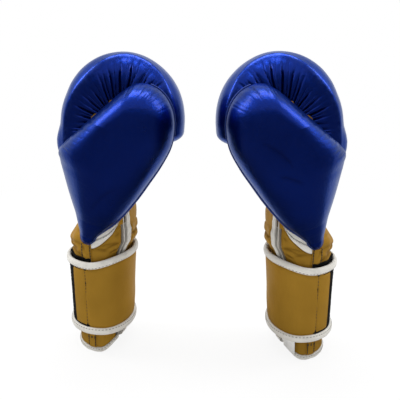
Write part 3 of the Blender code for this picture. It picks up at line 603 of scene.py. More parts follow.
def slant(points):
    """How far points of a glove move up for the slant of its mouth and its strap."""
    out, height = points[..., 0], points[..., 2]
    above = np.clip((height - BINDING_HEIGHT) / (MOUTH_RISE_TOP - BINDING_HEIGHT), 0, 1)
    rise = MOUTH_RISE * smooth(out, MOUTH_RISE_FROM, MOUTH_RISE_TO) * (1 - above)
    lift = STRAP_LIFT * above * (1 - smooth(height, STRAP_LOW + PIPING_HALF, STRAP_LIFT_TO))
    level = smooth(height, STRAP_LOW, STRAP_HIGH - PIPING_HALF)
    level = level * (1 - smooth(height, STRAP_HIGH + PIPING_HALF, STRAP_TILT_END))
    return rise + lift + STRAP_TILT * smooth(out, STRAP_TILT_FROM, STRAP_TILT_TO) * level


class Glove:
    """One glove: it stands each solid where the glove stands, mirrored for the right hand."""

    def __init__(self, side):
        self.side = side
        self.sign = 1 if side == "left" else -1
        low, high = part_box(side + "_mouth_binding")
        mouth = leather_halves(np.array(-CUFF_HEIGHT))
        back, thumb = (float(mouth[i]) + BINDING_PROUD for i in (0, 2))
        self.stands = np.array([low.x + back if side == "left" else high.x - back, low.y + thumb, 0])

    def place(self, points):
        points = np.array(points, float)
        points[..., 2] += slant(points)
        return self.stand(points)

    def stand(self, points):
        return np.asarray(points, float) * (self.sign, 1, 1) + self.stands

    def body(self, name):
        return f"{self.side}_{name}"

    def piece(self, name, solids, finish, slot, replaced=(), body="glove", pad=None, joined=False):
        """Makes solids one object, riding on a body and standing for the named nodes. joined makes points
        that meet one point."""
        made = solid_object(f"{self.side}_{name}", [self.placed(s) for s in solids], finish, joined)
        if body:
            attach(made, self.body(body))
        if replaced:
            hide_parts(*[f"{self.side}_{node}" for node in replaced])
        return made

    def placed(self, solid):
        points, blocks, marks = solid
        return self.place(points), blocks, marks

    def across_joint(self, made, first, second, start, end):
        """Stands two places of a strap hinge in the glove's frame, and bakes a piece's place into its mesh
        without bending it.
        """
        start, end = (Vector(self.stand(p)) for p in (start, end))
        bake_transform(made)


def linked_object(name, data):
    """A new object in the scene."""
    made = bpy.data.objects.new(name, data)
    bpy.context.scene.collection.objects.link(made)
    return made


def solid_object(name, solids, finish, joined):
    """One mesh object from solids, with outward faces, its cloth coordinates and its marks."""
    points, faces, laid, start = [], [], [], 0
    marks = {"painted_shade": [], "rub_and_highlight": []}
    for solid_points, blocks, solid_marks in solids:
        points.append(solid_points)
        for corners, cloth in blocks:
            faces.extend((corners + start).tolist())
            laid.append(cloth.reshape(-1, 2))
        for key in marks:
            marks[key].append(solid_marks[key])
        start += len(solid_points)
    mesh = bpy.data.meshes.new(name)
    mesh.from_pydata(np.concatenate(points).tolist(), [], faces)
    mesh.uv_layers.new(name="cloth").data.foreach_set("uv", np.concatenate(laid).ravel())
    for key, values in marks.items():
        mesh.attributes.new(key, "FLOAT", "POINT").data.foreach_set("value", np.concatenate(values))
    shaped = bmesh.new()
    shaped.from_mesh(mesh)
    bmesh.ops.delete(shaped, geom=[v for v in shaped.verts if not v.link_faces], context="VERTS")
    if joined:
        bmesh.ops.remove_doubles(shaped, verts=shaped.verts, dist=0.001 * MM)
    bmesh.ops.recalc_face_normals(shaped, faces=shaped.faces)
    shaped.to_mesh(mesh)
    shaped.free()
    mesh.shade_smooth()
    mesh.set_sharp_from_angle(angle=SHARP_FROM)
    mesh.materials.append(finish)
    return linked_object(name, mesh)


def ripples(u, v, seed, size, count=14):
    """A seeded smooth roughness, about -1 to 1, with swells of about the size."""
    draw = np.random.default_rng(seed)
    total = 0.0
    for _ in range(count):
        heading, shift = draw.uniform(0, 2 * math.pi, 2)
        pace = 2 * math.pi / size * draw.uniform(0.6, 1.5)
        total = total + np.sin(pace * (u * math.cos(heading) + v * math.sin(heading)) + shift)
    return total / math.sqrt(count)


def creases(u, v, lines):
    """How deep the leather sinks along creases, each (first place, last place, depth, width)."""
    sunk = 0.0
    for (u0, v0), (u1, v1), depth, width in lines:
        du, dv = u1 - u0, v1 - v0
        length = math.hypot(du, dv)
        along = ((u - u0) * du + (v - v0) * dv) / length**2
        bow = 0.06 * length * np.sin(math.pi * np.clip(along, 0, 1))
        off = ((u - u0) * dv - (v - v0) * du) / length + bow
        ends = smooth(along, -0.15, 0.25) * (1 - smooth(along, 0.75, 1.15))
        sunk = sunk + depth * ends * np.exp(-((np.abs(off) / width) ** 1.4))
    return sunk


# Where the mitt's ridge runs, as places along the hand and angles from its back
RIDGE = np.array([
    (40, 50), (90, 52), (103, 56), (112, 55), (118, 49), (123, 38), (127, 29), (131, 23), (137, 24),
    (143, 31), (150, 42), (158, 45), (183, 48),
]) * (MM, DEGREE)
RIDGE_HEIGHT = 1.0 * MM
RIDGE_HALF = 7 * DEGREE
DISH_DEPTH = 5.5 * MM
DISH_SPREAD = 24 * DEGREE
PLEATS_FROM = 42 * MM
PLEATS_TO = 168 * MM

# How far the padding presses the leather out over the back of the hand, or draws it in, along the hand
BACK_PRESS = mm(
    (0, 0), (52, 0), (64, 1.4), (72, 2.2), (79, 1.4), (85, -0.6), (91, -3.4), (97, -5.8), (104, -6.2),
    (110, -4.6), (116, -2.6), (124, -0.8), (134, 0), (183, 0),
)


def drawn_in(at):
    """The share of their size that pleats keep, which is less round the knuckles than on the hand."""
    return 1 - 0.55 * float(smooth(at, HAND_LENGTH - 14 * MM, HAND_LENGTH + 10 * MM))


def pleats(s, past, seed):
    """Leather gathered below the ridge: how far it puffs between its creases, and how deep these are."""
    draw = np.random.default_rng(seed)
    edges = [PLEATS_FROM]
    while edges[-1] < PLEATS_TO:
        edges.append(edges[-1] + draw.uniform(2.8, 7.5) * MM * drawn_in(edges[-1]))
    puffed, sunk, line = 0.0, 0.0, None
    for i, at in enumerate(edges):
        tight = drawn_in(at)
        lean, phase = draw.uniform(-2.5, 2.5) * MM * tight, draw.uniform(0, 6)
        depth = draw.uniform(1.3, 2.3) * MM if i % 2 else draw.uniform(0.3, 0.9) * MM
        width, first = draw.uniform(0.9, 1.4) * MM * tight, draw.uniform(1, 14) * DEGREE
        before, line = line, at + lean * past + 0.35 * MM * tight * np.sin(past * 9 + phase)
        starts = smooth(past, first, first + 26 * DEGREE)
        sunk = sunk + depth * starts * np.exp(-((np.abs(s - line) / width) ** 1.3))
        if before is not None:
            share = np.clip((s - before) / np.maximum(line - before, 0.2 * MM), 0, 1)
            puffed = puffed + draw.uniform(0.5, 1.1) * MM * np.sqrt(share * (1 - share)) * 2
    return puffed * smooth(past, 2 * DEGREE, 30 * DEGREE), sunk


def mitt(glove):
    """The blue leather over the back, the knuckles and the sides: smooth where it punches, and gathered in
    pleats below the ridge."""
    rows = np.concatenate([
        np.linspace(CLEARANCE / 2, 40 * MM, 34),
        np.linspace(40 * MM, HAND_LENGTH, 130)[1:],
        np.linspace(HAND_LENGTH, FINGER_START, 280)[1:],
        np.linspace(FINGER_START, FINGER_END - 0.01 * MM, 44)[1:],
    ])
    seam = PALM_SEAM - 1.5 * DEGREE
    fine = np.linspace(12 * DEGREE, seam, 66)
    columns = np.concatenate([-fine[::-1], np.linspace(-12, 12, 8)[1:-1] * DEGREE, fine])
    s, angle = rows[:, None], columns[None, :]
    turned = np.abs(angle)
    past = turned - through(RIDGE, s)
    side = [pleats(s, past, seed) for seed in (11, 12)]
    gathered = smooth(s, 36 * MM, 70 * MM) * (1 - smooth(s, FINGER_START - 8 * MM, PALM_END))
    puffed, sunk = (np.where(angle > 0, *pair) * gathered for pair in zip(*side))
    ridge = RIDGE_HEIGHT * hump(past, 0, RIDGE_HALF) * gathered
    falling = (past + np.sqrt(past * past + (9 * DEGREE) ** 2)) / 2
    dish = DISH_DEPTH * (1 - np.exp(-falling / DISH_SPREAD)) * gathered * smooth(s, 68 * MM, 98 * MM)
    press = through(BACK_PRESS, s) * (1 - smooth(turned, 20 * DEGREE, 72 * DEGREE))
    slow = 0.25 * MM * ripples(s, 0.04 * angle, 21, 60 * MM)
    fine_folds = 0.06 * MM * ripples(s, 0.0015 * angle, 22, 1.5 * MM) * gathered
    fine_folds = fine_folds * smooth(past, -5 * DEGREE, 3 * DEGREE)
    hem = 0.9 * MM * (1 - smooth(s, 0, 5 * MM))
    plain = 1 - smooth(s, PALM_END - 4 * MM, PALM_END)
    lift = ridge + press + slow * plain + fine_folds + puffed - dish - sunk - hem
    closing = smooth(s, PALM_END - 1 * MM, PALM_END + 3 * MM)
    spread = angle * (1 + (math.pi / seam - 1) * closing)
    joined = int(np.argmax(closing[:, 0] >= 1))
    # Painted shade in the pleats' creases, darker where they sink deeper
    painted_shade = np.clip(sunk / (1.5 * MM), 0, 1)
    # Lighter leather along the ridge: a painted highlight, patchy like rubbed wear
    rub_and_highlight = hump(past, 0, 6 * DEGREE) * gathered * 0.7
    grids = leather(s, spread, lift), leather(s, spread, lift - LEATHER)
    solid = shell(*grids, painted_shade, rub_and_highlight, joined_from=joined, capped=True)
    glove.piece("mitt_leather", [solid], BLUE, "blue_leather", ["mitt_shell", "knuckle_foam"], pad=0.9)


# Above the wrist seam the slit runs on as a groove in the palm's leather
GROOVE_DEPTH = 3.5 * MM
GROOVE_TO = 24 * MM


def heel_lift(s, angle):
    """How far the padded heel of the palm stands out."""
    from_edge = np.minimum(angle - PALM_SEAM, 2 * math.pi - PALM_SEAM - angle)
    return 0.8 * MM * hump(s, 24 * MM, 20 * MM) * smooth(from_edge, 0, 22 * DEGREE) * smooth(s, 0, 8 * MM)


def palm(glove):
    """The gold leather over the palm and round the inside of the finger curl, padded at the heel."""
    rows = np.concatenate([
        np.linspace(CLEARANCE / 2, HAND_LENGTH, 90),
        np.linspace(HAND_LENGTH, PALM_END, 130)[1:],
    ])
    columns = np.linspace(PALM_SEAM, 2 * math.pi - PALM_SEAM, 96)
    s, angle = rows[:, None], columns[None, :]
    from_edge = np.minimum(angle - columns[0], columns[-1] - angle)
    heel = heel_lift(s, angle)
    narrow = SLIT_HALF * (1 - smooth(s, 0, GROOVE_TO))
    off = np.abs(angle - SLIT_AT) / (narrow + 0.5 * DEGREE)
    groove = GROOVE_DEPTH * np.exp(-(off**4)) * (s < GROOVE_TO)
    bent = smooth(s, HAND_LENGTH - 6 * MM, HAND_LENGTH + 14 * MM) * (1 - smooth(s, FINGER_START, PALM_END))
    folds = 0.35 * MM * ripples(s * 3, 0.012 * angle, 31, 9 * MM) * bent
    slack = 0.3 * MM * ripples(s, 0.04 * angle, 32, 24 * MM)
    lines = [
        ((38 * MM, 2.4 * PALM_ROUND), (46 * MM, 3.8 * PALM_ROUND), 0.7 * MM, 1.6 * MM),
        ((62 * MM, 2.3 * PALM_ROUND), (66 * MM, 3.9 * PALM_ROUND), 0.8 * MM, 1.8 * MM),
    ]
    sunk = creases(s, angle * PALM_ROUND, lines)
    tuck = 0.9 * MM * (1 - smooth(from_edge, 0, 4 * DEGREE))
    lift = heel + folds + slack - sunk - groove - tuck - 0.5 * MM * smooth(s, PALM_END - 6 * MM, PALM_END)
    # Painted shade in the creases, in the hollows of the folds and in the slit's groove
    painted_shade = np.clip(sunk / (0.8 * MM) + np.maximum(-folds, 0) / (0.4 * MM) + groove / GROOVE_DEPTH, 0, 1)
    solid = shell(leather(s, angle, lift), leather(s, angle, lift - LEATHER), painted_shade)
    glove.piece("palm_leather", [solid], GOLD, "gold_leather", ["palm_panel", "heel_pad"], pad=0.6)


def lining(glove):
    """The pale cloth pocket that the hand goes into, open at the mouth and along the slit."""
    rows = np.concatenate([
        np.linspace(BINDING_HEIGHT - CUFF_HEIGHT, 0, 60),
        np.linspace(0, PALM_END - 3 * CLEARANCE, 90)[1:],
    ])
    s = rows[:, None]
    gap = SLIT_HALF * (1 - smooth(s, -3 * MM, -CLEARANCE))
    share = np.linspace(0, 1, 97)[None, :]
    angle = SLIT_AT + gap + share * (2 * math.pi - 2 * gap)
    slack = 0.5 * MM * ripples(s, 0.03 * angle, 41, 26 * MM) * smooth(s, rows[0], rows[0] + 8 * MM)
    slack = slack * smooth(share, 0, 0.04) * (1 - smooth(share, 0.96, 1)) - 0.3 * MM
    joined = int(np.argmax(gap[:, 0] <= 0))
    solid = shell(
        pocket(s, angle, LINING + slack), pocket(s, angle, slack), joined_from=joined, capped=True
    )
    glove.piece("lining_pocket", [solid], LINING_CLOTH, "pale_lining", ["hand_lining"])


def grip_roll(glove):
    """The soft roll across the palm that the fingers close on."""
    top = np.array(GRIP_BAR_HEIGHT + GRIP_BAR_RADIUS)
    _, palm_half, thumb_half, _ = (float(h) for h in pocket_halves(top))
    half, power = GRIP_BAR_LENGTH / 2, float(squareness(top))
    wall = palm_half * (1 - (half / thumb_half) ** power) ** (1 / power)
    across = wall - GRIP_BAR_RADIUS - CLEARANCE
    sideways = np.linspace(-half + GRIP_BAR_RADIUS, half - GRIP_BAR_RADIUS, 50)
    thick = GRIP_BAR_RADIUS * (0.97 + 0.03 * np.cos(sideways / half * 2.4))
    thick = thick + 0.12 * MM * ripples(sideways, 0, 51, 9 * MM)
    centres = np.stack([np.full(50, across), sideways, np.full(50, CUFF_HEIGHT + GRIP_BAR_HEIGHT)], axis=1)
    solid = tube(centres, np.tile([1.0, 0, 0], (50, 1)), thick, 20)
    glove.piece("grip_roll", [solid], LINING_CLOTH, "pale_lining", ["grip_bar"], pad=0.9)


def places_along(line, along, wanted):
    """Places on a flat line of points at the wanted distances along it."""
    return np.stack([np.interp(wanted, along, line[:, axis]) for axis in (0, 1)], axis=1)


def closed_curve(points, count):
    """Evenly spaced places on a smooth closed curve through points."""
    fine = []
    for i in range(len(points)):
        p0, p1, p2, p3 = (points[(i + k) % len(points)] for k in (-1, 0, 1, 2))
        knots = np.cumsum([0] + [np.linalg.norm(b - a) ** 0.5 for a, b in ((p0, p1), (p1, p2), (p2, p3))])
        t = np.linspace(knots[1], knots[2], 40, endpoint=False)[:, None]
        k0, k1, k2, k3 = knots
        a1 = (k1 - t) / (k1 - k0) * p0 + (t - k0) / (k1 - k0) * p1
        a2 = (k2 - t) / (k2 - k1) * p1 + (t - k1) / (k2 - k1) * p2
        a3 = (k3 - t) / (k3 - k2) * p2 + (t - k2) / (k3 - k2) * p3
        b1 = (k2 - t) / (k2 - k0) * a1 + (t - k0) / (k2 - k0) * a2
        b2 = (k3 - t) / (k3 - k1) * a2 + (t - k1) / (k3 - k1) * a3
        fine.append((k2 - t) / (k2 - k1) * b1 + (t - k1) / (k2 - k1) * b2)
    looped = np.vstack([*fine, fine[0][:1]])
    along = run(looped)
    return places_along(looped, along, np.linspace(0, along[-1], count, endpoint=False))


THUMB_COLUMNS = 580
THUMB_EDGE = closed_curve(THUMB_OUTLINE, THUMB_COLUMNS)
SPINE_STEPS = 70

# The long creases of each thumb, seen from its side, and stretches of its edge, as places on its outline
THUMB_CREASES = {
    "left": [((-2 * MM, 150 * MM), (22 * MM, 172 * MM), 0.25 * MM, 2.2 * MM)],
    "right": [
        ((20 * MM, 196 * MM), (44 * MM, 214 * MM), 0.45 * MM, 1.8 * MM),
        ((10 * MM, 180 * MM), (30 * MM, 186 * MM), 0.35 * MM, 1.6 * MM),
    ],
}
UPPER_EDGE = (5, 14)
EDGE_AT_MITT = (4.4, 6.6)
SLIVERS = ((7.75, 8.35), (8.75, 9.3))
WELT_EDGE = (12, 15.6)
BAND_EDGE = (15.2, 21.3)
TONGUE_EDGE = (21.2, 1.8)


def beside_thumb(flat, out):
    """Points at places seen from the thumb side, each as far out as given."""
    return np.stack([flat[..., 0], -out, flat[..., 1]], axis=-1)


def base_at(flat):
    return thumb_base(flat[..., 0], flat[..., 1])


def thumb_spine(steps=0):
    """For each place on the thumb's edge, the place on its spine that faces it and how far it bulges there.
    steps moves the places to that many even ones, which both sides of the thumb share."""
    low, high = THUMB_SPINE
    reach = high - low
    share = (THUMB_EDGE - low) @ reach / (reach @ reach)
    eased = np.clip(share, 0, 1)
    if steps:
        eased = np.round(eased * steps) / steps
    spine = low + eased[:, None] * reach
    return spine, through(THUMB_BULGE, spine[:, 1])


def edge_at(place):
    """The point of the thumb's edge nearest an outline point, or part of the way from it to the next."""
    first = int(place)
    a, b = THUMB_OUTLINE[first % len(THUMB_OUTLINE)], THUMB_OUTLINE[(first + 1) % len(THUMB_OUTLINE)]
    return int(np.argmin(np.linalg.norm(THUMB_EDGE - (a + (b - a) * (place - first)), axis=1)))


def edge_share(first, last, ease=14):
    """1 on the thumb's edge between two places on its outline, easing to 0 inside them."""
    start = edge_at(first)
    span = (edge_at(last) - start) % THUMB_COLUMNS
    past = (np.arange(THUMB_COLUMNS) - start) % THUMB_COLUMNS
    return smooth(past, 0, ease) * (1 - smooth(past, span - ease, span)) * (past <= span)


def thumb_surface(share):
    """Points of the thumb's swell, at shares of the way from its spine to its edge, and the way they face."""
    spine, bulge = thumb_spine()
    flat = spine[None] + (THUMB_EDGE - spine)[None] * share[..., None]
    rim, middle = base_at(THUMB_EDGE)[None], base_at(spine)[None]
    height = bulge[None] * np.maximum(0, 1 - share**THUMB_POWER) ** (1 / THUMB_POWER)
    out = middle + (rim - middle) * share**2 + height
    points = beside_thumb(flat, out)
    round_edge = (np.roll(points, -1, axis=1) - np.roll(points, 1, axis=1)) / 2
    facing = np.cross(np.gradient(points, axis=0), round_edge)
    facing /= np.maximum(np.linalg.norm(facing, axis=-1, keepdims=True), 1e-12)
    return points, facing * np.sign(-facing[len(points) // 2, :, 1]).mean()


def thumb_wrinkles(share, seed):
    """Short creases square to the thumb's upper edge, closest where it meets the mitt."""
    draw = np.random.default_rng(seed)
    place = np.arange(THUMB_COLUMNS)[None, :]
    upper = edge_share(*UPPER_EDGE)[None, :]
    corner = edge_share(*EDGE_AT_MITT, 30)[None, :]
    sunk = np.zeros(share.shape)
    for _ in range(90):
        at = draw.uniform(edge_at(EDGE_AT_MITT[0]), edge_at(UPPER_EDGE[1]))
        depth, width = draw.uniform(0.1, 0.38) * MM, draw.uniform(0.9, 2.0)
        first, last = draw.uniform(0.55, 0.8), draw.uniform(0.88, 1.0)
        lean = draw.uniform(-14, 14)
        off = place - at - lean * (share - 0.8)
        sunk += depth * np.exp(-((np.abs(off) / width) ** 1.5)) * smooth(share, first, last)
    return sunk * (1 - smooth(share, 0.985, 1)) * (0.3 + 0.7 * upper + 1.2 * corner)


def thumb(glove):
    """The blue leather pillow over the thumb, with its rim turned under, and the trims along its edge."""
    rows = np.concatenate([[0], np.linspace(0.03, 0.6, 30), 1 - np.geomspace(0.4, 0.0006, 64)[1:]])
    share = np.broadcast_to(rows[:, None], (len(rows), THUMB_COLUMNS))
    points, facing = thumb_surface(share)
    spine, bulge = thumb_spine(SPINE_STEPS)
    points[0] = beside_thumb(spine, base_at(spine) + bulge)
    facing[0] = (0, -1, 0)
    wrinkles = thumb_wrinkles(share, 61 if glove.side == "left" else 62)
    across, height = points[..., 0], points[..., 2]
    long_creases = creases(across, height, THUMB_CREASES[glove.side]) * (1 - smooth(share, 0.9, 1))
    swell = 0.4 * MM * ripples(across, height, 63, 55 * MM) * (1 - smooth(share, 0.8, 1))
    sunk = wrinkles + long_creases
    outside = (points + facing * (swell - sunk)[..., None])[::-1]
    under_rows = np.linspace(1, 0.8, 9)[:, None]
    under = THUMB_EDGE[None] * under_rows[..., None] + thumb_spine()[0][None] * (1 - under_rows[..., None])
    tucked = beside_thumb(under, base_at(under) + 0.4 * MM)
    # Painted shade in the thumb's wrinkles and creases
    painted_shade = np.clip(sunk / (0.5 * MM), 0, 1)
    # A painted highlight along the thumb's upper edge, patchy like rubbed wear
    rub_and_highlight = edge_share(*UPPER_EDGE)[None] * 0.5 * hump(share, 0.9, 0.08)
    solid = pillow(outside, tucked, painted_shade[::-1], rub_and_highlight[::-1])
    nodes = ["thumb_shell", "thumb_foam"]
    glove.piece("thumb_leather", [solid], BLUE, "blue_leather", nodes, pad=0.95, joined=True)
    glove.piece("thumb_trims", thumb_trims(), HIGHLIT_WELT, "blue_leather")


def pillow(outside, tucked, painted_shade, rub_and_highlight):
    """A solid from the rim of the swell up to its spine, where its sides are joined, and in under its rim."""
    grids = np.concatenate([tucked[::-1], outside])
    rows, columns = grids.shape[:2]
    index = np.arange(rows * columns).reshape(rows, columns)
    wrapped = np.hstack([index, index[:, :1]])
    quads = cell_corners(wrapped)
    points = grids.reshape(-1, 3)
    flat = points[:, [0, 2]]
    blocks = [(corners, flat[corners]) for corners in (quads, index[:1])]
    none = np.zeros(len(tucked) * columns)
    marks = {"painted_shade": painted_shade, "rub_and_highlight": rub_and_highlight}
    return points, blocks, {name: np.concatenate([none, mark.ravel()]) for name, mark in marks.items()}


def edge_places(first, last, count, grow=0.0):
    """Points along the thumb's edge between two places on its outline, pushed out by grow."""
    start = edge_at(first)
    span = (edge_at(last) - start) % THUMB_COLUMNS
    wanted = (start + np.linspace(0, span, count)) % THUMB_COLUMNS
    looped = np.vstack([THUMB_EDGE, THUMB_EDGE[:1]])
    flat = places_along(looped, np.arange(THUMB_COLUMNS + 1), wanted)
    along = np.gradient(flat, axis=0)
    away = np.stack([-along[:, 1], along[:, 0]], axis=1) / np.linalg.norm(along, axis=1, keepdims=True)
    flat = flat + away * grow
    return flat, np.stack([away[:, 0], np.zeros(count), away[:, 1]], axis=1)


def edge_cord(stretch, radius, grow, lift, sides, lean=0.0, wide=1.0):
    """A rolled edge of leather along a stretch of the thumb's edge, pushed out by grow and lifted off it."""
    flat, away = edge_places(*stretch, len(radius), grow)
    return tube(beside_thumb(flat, base_at(flat) + lift), away - np.array([0, lean, 0]), radius, sides, wide)


def thumb_trims():
    """A thin welt along the thumb's palm edge, a folded band along its lower edge, widest near its point, and
    a rolled tongue at its point."""
    along = np.linspace(0, 1, 150)
    band = (1.1 + 0.8 * along) * MM * (0.25 + 0.75 * np.sin(math.pi * along) ** 0.35)
    tongue = (0.6 + 1.0 * np.sin(np.linspace(0, math.pi, 70)) ** 0.6) * MM
    return [
        edge_cord(WELT_EDGE, np.full(160, 0.9 * MM), 0.3 * MM, 1.2 * MM, 10),
        edge_cord(BAND_EDGE, band, -0.6 * MM, 2.6 * MM, 14, lean=0.9, wide=2.0),
        edge_cord(TONGUE_EDGE, tongue, -0.4 * MM, 1.6 * MM, 12),
    ]


def thumb_inside(glove):
    """The gold leather on the thumb's inner side, whose edge shows in the gap, and the thumb's tab."""
    shows = sum(edge_share(*sliver, 8) for sliver in SLIVERS)
    rows = np.linspace(0.05, 1, 30)[:, None]
    share = rows * (0.94 + 0.105 * shows[None, :])
    spine, _ = thumb_spine()
    flat = spine[None] + (THUMB_EDGE - spine)[None] * share[..., None]
    slack = 0.25 * MM * ripples(flat[..., 0], flat[..., 1], 71, 18 * MM)
    near = beside_thumb(flat, base_at(flat) - slack)
    far = near - np.array([0, 1.5 * MM, 0])
    looped = [np.concatenate([g, g[:, :1]], axis=1) for g in (near[::-1], far[::-1])]
    solid = shell(*looped, joined_from=0, capped=True)
    glove.piece("thumb_inner_leather", [solid], GOLD, "gold_leather", ["thumb_inner_panel", "thumb_lining"])
    half, reach = TETHER_WIDTH / 2, TETHER_LENGTH / 2
    across = np.linspace(TETHER_ACROSS - half, TETHER_ACROSS + half, 16)[None, :]
    height = np.linspace(TETHER_HEIGHT - reach, TETHER_HEIGHT + reach, 14)[:, None]
    across, height = np.broadcast_arrays(across, height)
    base = thumb_base(across, height)
    waist = 1 - 0.12 * hump(height, TETHER_HEIGHT, reach / 2)
    across = TETHER_ACROSS + (across - TETHER_ACROSS) * waist
    inner = np.stack([across, -side_reach(across, height) + DISH_DEPTH / 2, height], axis=-1)
    outer = np.stack([across, -base + CLEARANCE, height], axis=-1)
    glove.piece("thumb_tab", [shell(outer, inner)], GOLD, "gold_leather", ["thumb_tether"])


def cuff_wrinkles(height, angle, seed, first, last):
    """Creases across the cuff above the strap, where it gives as the wrist bends."""
    draw = np.random.default_rng(seed)
    lines = []
    for _ in range(int(26 * (last - first) / math.pi)):
        at = draw.uniform(first, last) * CUFF_ROUND
        level = draw.uniform(96, 124) * MM
        reach = draw.uniform(6, 16) * MM
        tilt = draw.uniform(-0.35, 0.35)
        half = (reach * math.cos(tilt), reach * math.sin(tilt))
        lines.append(((at - half[0], level - half[1]), (at + half[0], level + half[1]),
                      draw.uniform(0.5, 1.5) * MM, draw.uniform(1.0, 2.2) * MM))
    return creases(angle * CUFF_ROUND, height, lines)


# The cuff's panels: first and last angle, the nodes that each stands for and the seed of its creases
CUFF_PANELS = {
    "cuff_back": (PINKY_SEAM + SEAM_GAP, THUMB_SEAM - SEAM_GAP, ["cuff_back_panel", "cuff_foam"], 81),
    "cuff_thumb_side": (THUMB_SEAM + SEAM_GAP, SLIT_AT - BESIDE_SLIT, ["cuff_thumb_flap"], 82),
    "cuff_pinky_side": (
        SLIT_AT + BESIDE_SLIT, 2 * math.pi + PINKY_SEAM - SEAM_GAP, ["cuff_pinky_flap"], 83,
    ),
}


def cuff_shell(height, angle, outside, inside, painted_shade=None):
    """A solid on the cuff, between two distances from its leather."""
    return shell(cuff(height, angle, outside), cuff(height, angle, inside), painted_shade)


def above_strap(height):
    """0 under the strap and 1 above it, where the cuff gives."""
    return smooth(height, STRAP_HIGH - 4 * MM, STRAP_HIGH + 8 * MM)


def cuff_puff(height, angle):
    """How far the padding swells the cuff above the strap."""
    above = above_strap(height)
    swell = 1.6 * MM * above * (1 - smooth(height, CUFF_HEIGHT - 10 * MM, CUFF_HEIGHT))
    slow = 0.5 * MM * ripples(height, CUFF_ROUND * angle, 101, 22 * MM) * (0.1 + 0.9 * above)
    return swell + slow * (1 - smooth(height, CUFF_HEIGHT - 6 * MM, CUFF_HEIGHT))


def cuff_lift(height, angle, seed, first, last):
    """How far the padded cuff stands off its plain shape, and how deep its creases are."""
    from_edge = np.minimum(angle - first, last - angle)
    loose = smooth(from_edge, 0, 8 * DEGREE)
    sunk = cuff_wrinkles(height, angle, seed, first, last) * above_strap(height) * loose
    low, _ = wedge_place(0, np.clip((angle - WEDGE_FROM) / (GUSSET_TO - WEDGE_FROM), 0, 1))
    under = (angle > WEDGE_FROM - 3 * DEGREE) & (angle < GUSSET_TO + 2 * DEGREE)
    # A groove under the wedge's lower edge, which also carries a painted shadow there
    edge = 0.8 * MM * hump(height, low - 0.6 * MM, 1.0 * MM) * under
    sunk = sunk * (1 - smooth(height, low - 4 * MM, low) * under) + edge
    seam = 1.3 * MM * (1 - smooth(from_edge, 0, 5 * DEGREE))
    seam = np.maximum(seam, 1.4 * MM * smooth(height, CUFF_HEIGHT - 4 * MM, CUFF_HEIGHT))
    return cuff_puff(height, angle) - sunk - seam, sunk


def cuff_sides(glove):
    """The cuff's three padded panels of gold leather."""
    low, high = BINDING_HEIGHT + CLEARANCE, CUFF_HEIGHT - CLEARANCE / 2
    bare = STRAP_HIGH - 5 * MM
    rows = np.concatenate([np.linspace(low, bare, 40), np.linspace(bare, high, 90)[1:]])
    for name, (first, last, nodes, seed) in CUFF_PANELS.items():
        columns = np.linspace(first, last, max(50, int((last - first) / (1.0 * DEGREE))))
        height, angle = rows[:, None], columns[None, :]
        lift, sunk = cuff_lift(height, angle, seed, first, last)
        # The last value is painted shade in the cuff's creases and under the wedge's edge
        solid = cuff_shell(height, angle, lift, -(LEATHER + CUFF_FOAM), np.clip(sunk / (1.1 * MM), 0, 1))
        glove.piece(name, [solid], GOLD, "gold_leather", nodes, pad=0.7)


def mouth_edge(glove):
    """The white binding folded over the cuff's lower edge, flat where the glove stands on it."""
    first, last = SLIT_AT + SLIT_HALF + SEAM_GAP - 2 * math.pi, SLIT_AT - SLIT_HALF - SEAM_GAP
    angles = np.linspace(first, last, 220)
    inside = -(LEATHER + CUFF_FOAM + 3 * CLEARANCE + LINING)
    half, soft = (BINDING_PROUD - inside) / 2, 3.4
    turns = np.linspace(0, 2 * math.pi, 28, endpoint=False)
    lifts = inside + half + half * signed_power(np.cos(turns), 2 / soft)
    levels = BINDING_HEIGHT / 2 * (1 + signed_power(np.sin(turns), 2 / soft))
    puckers = 0.18 * MM * ripples(angles * CUFF_ROUND, 0, 91, 5 * MM)[:, None] * (lifts > 0)[None, :]
    rings = cuff(np.zeros(1), angles[:, None], lifts[None, :] + puckers)
    rings[..., 2] = levels[None, :]
    glove.piece("mouth_edge", [loft(rings)], WHITE, "white_leather", ["mouth_binding"])


# The slit's bindings: first angle, width, how proud each stands clear of the strap and how far it runs past
# the wrist
SLIT_EDGES = {
    "thumb": (SLIT_AT - SLIT_HALF - SLIT_BINDING_WIDTH * 0.3, SLIT_BINDING_WIDTH * 0.3, 0.0, 16 * MM),
    "pinky": (SLIT_AT + SLIT_HALF * 0.3, SLIT_BINDING_WIDTH * 1.8, 0.9 * MM, GROOVE_TO),
}


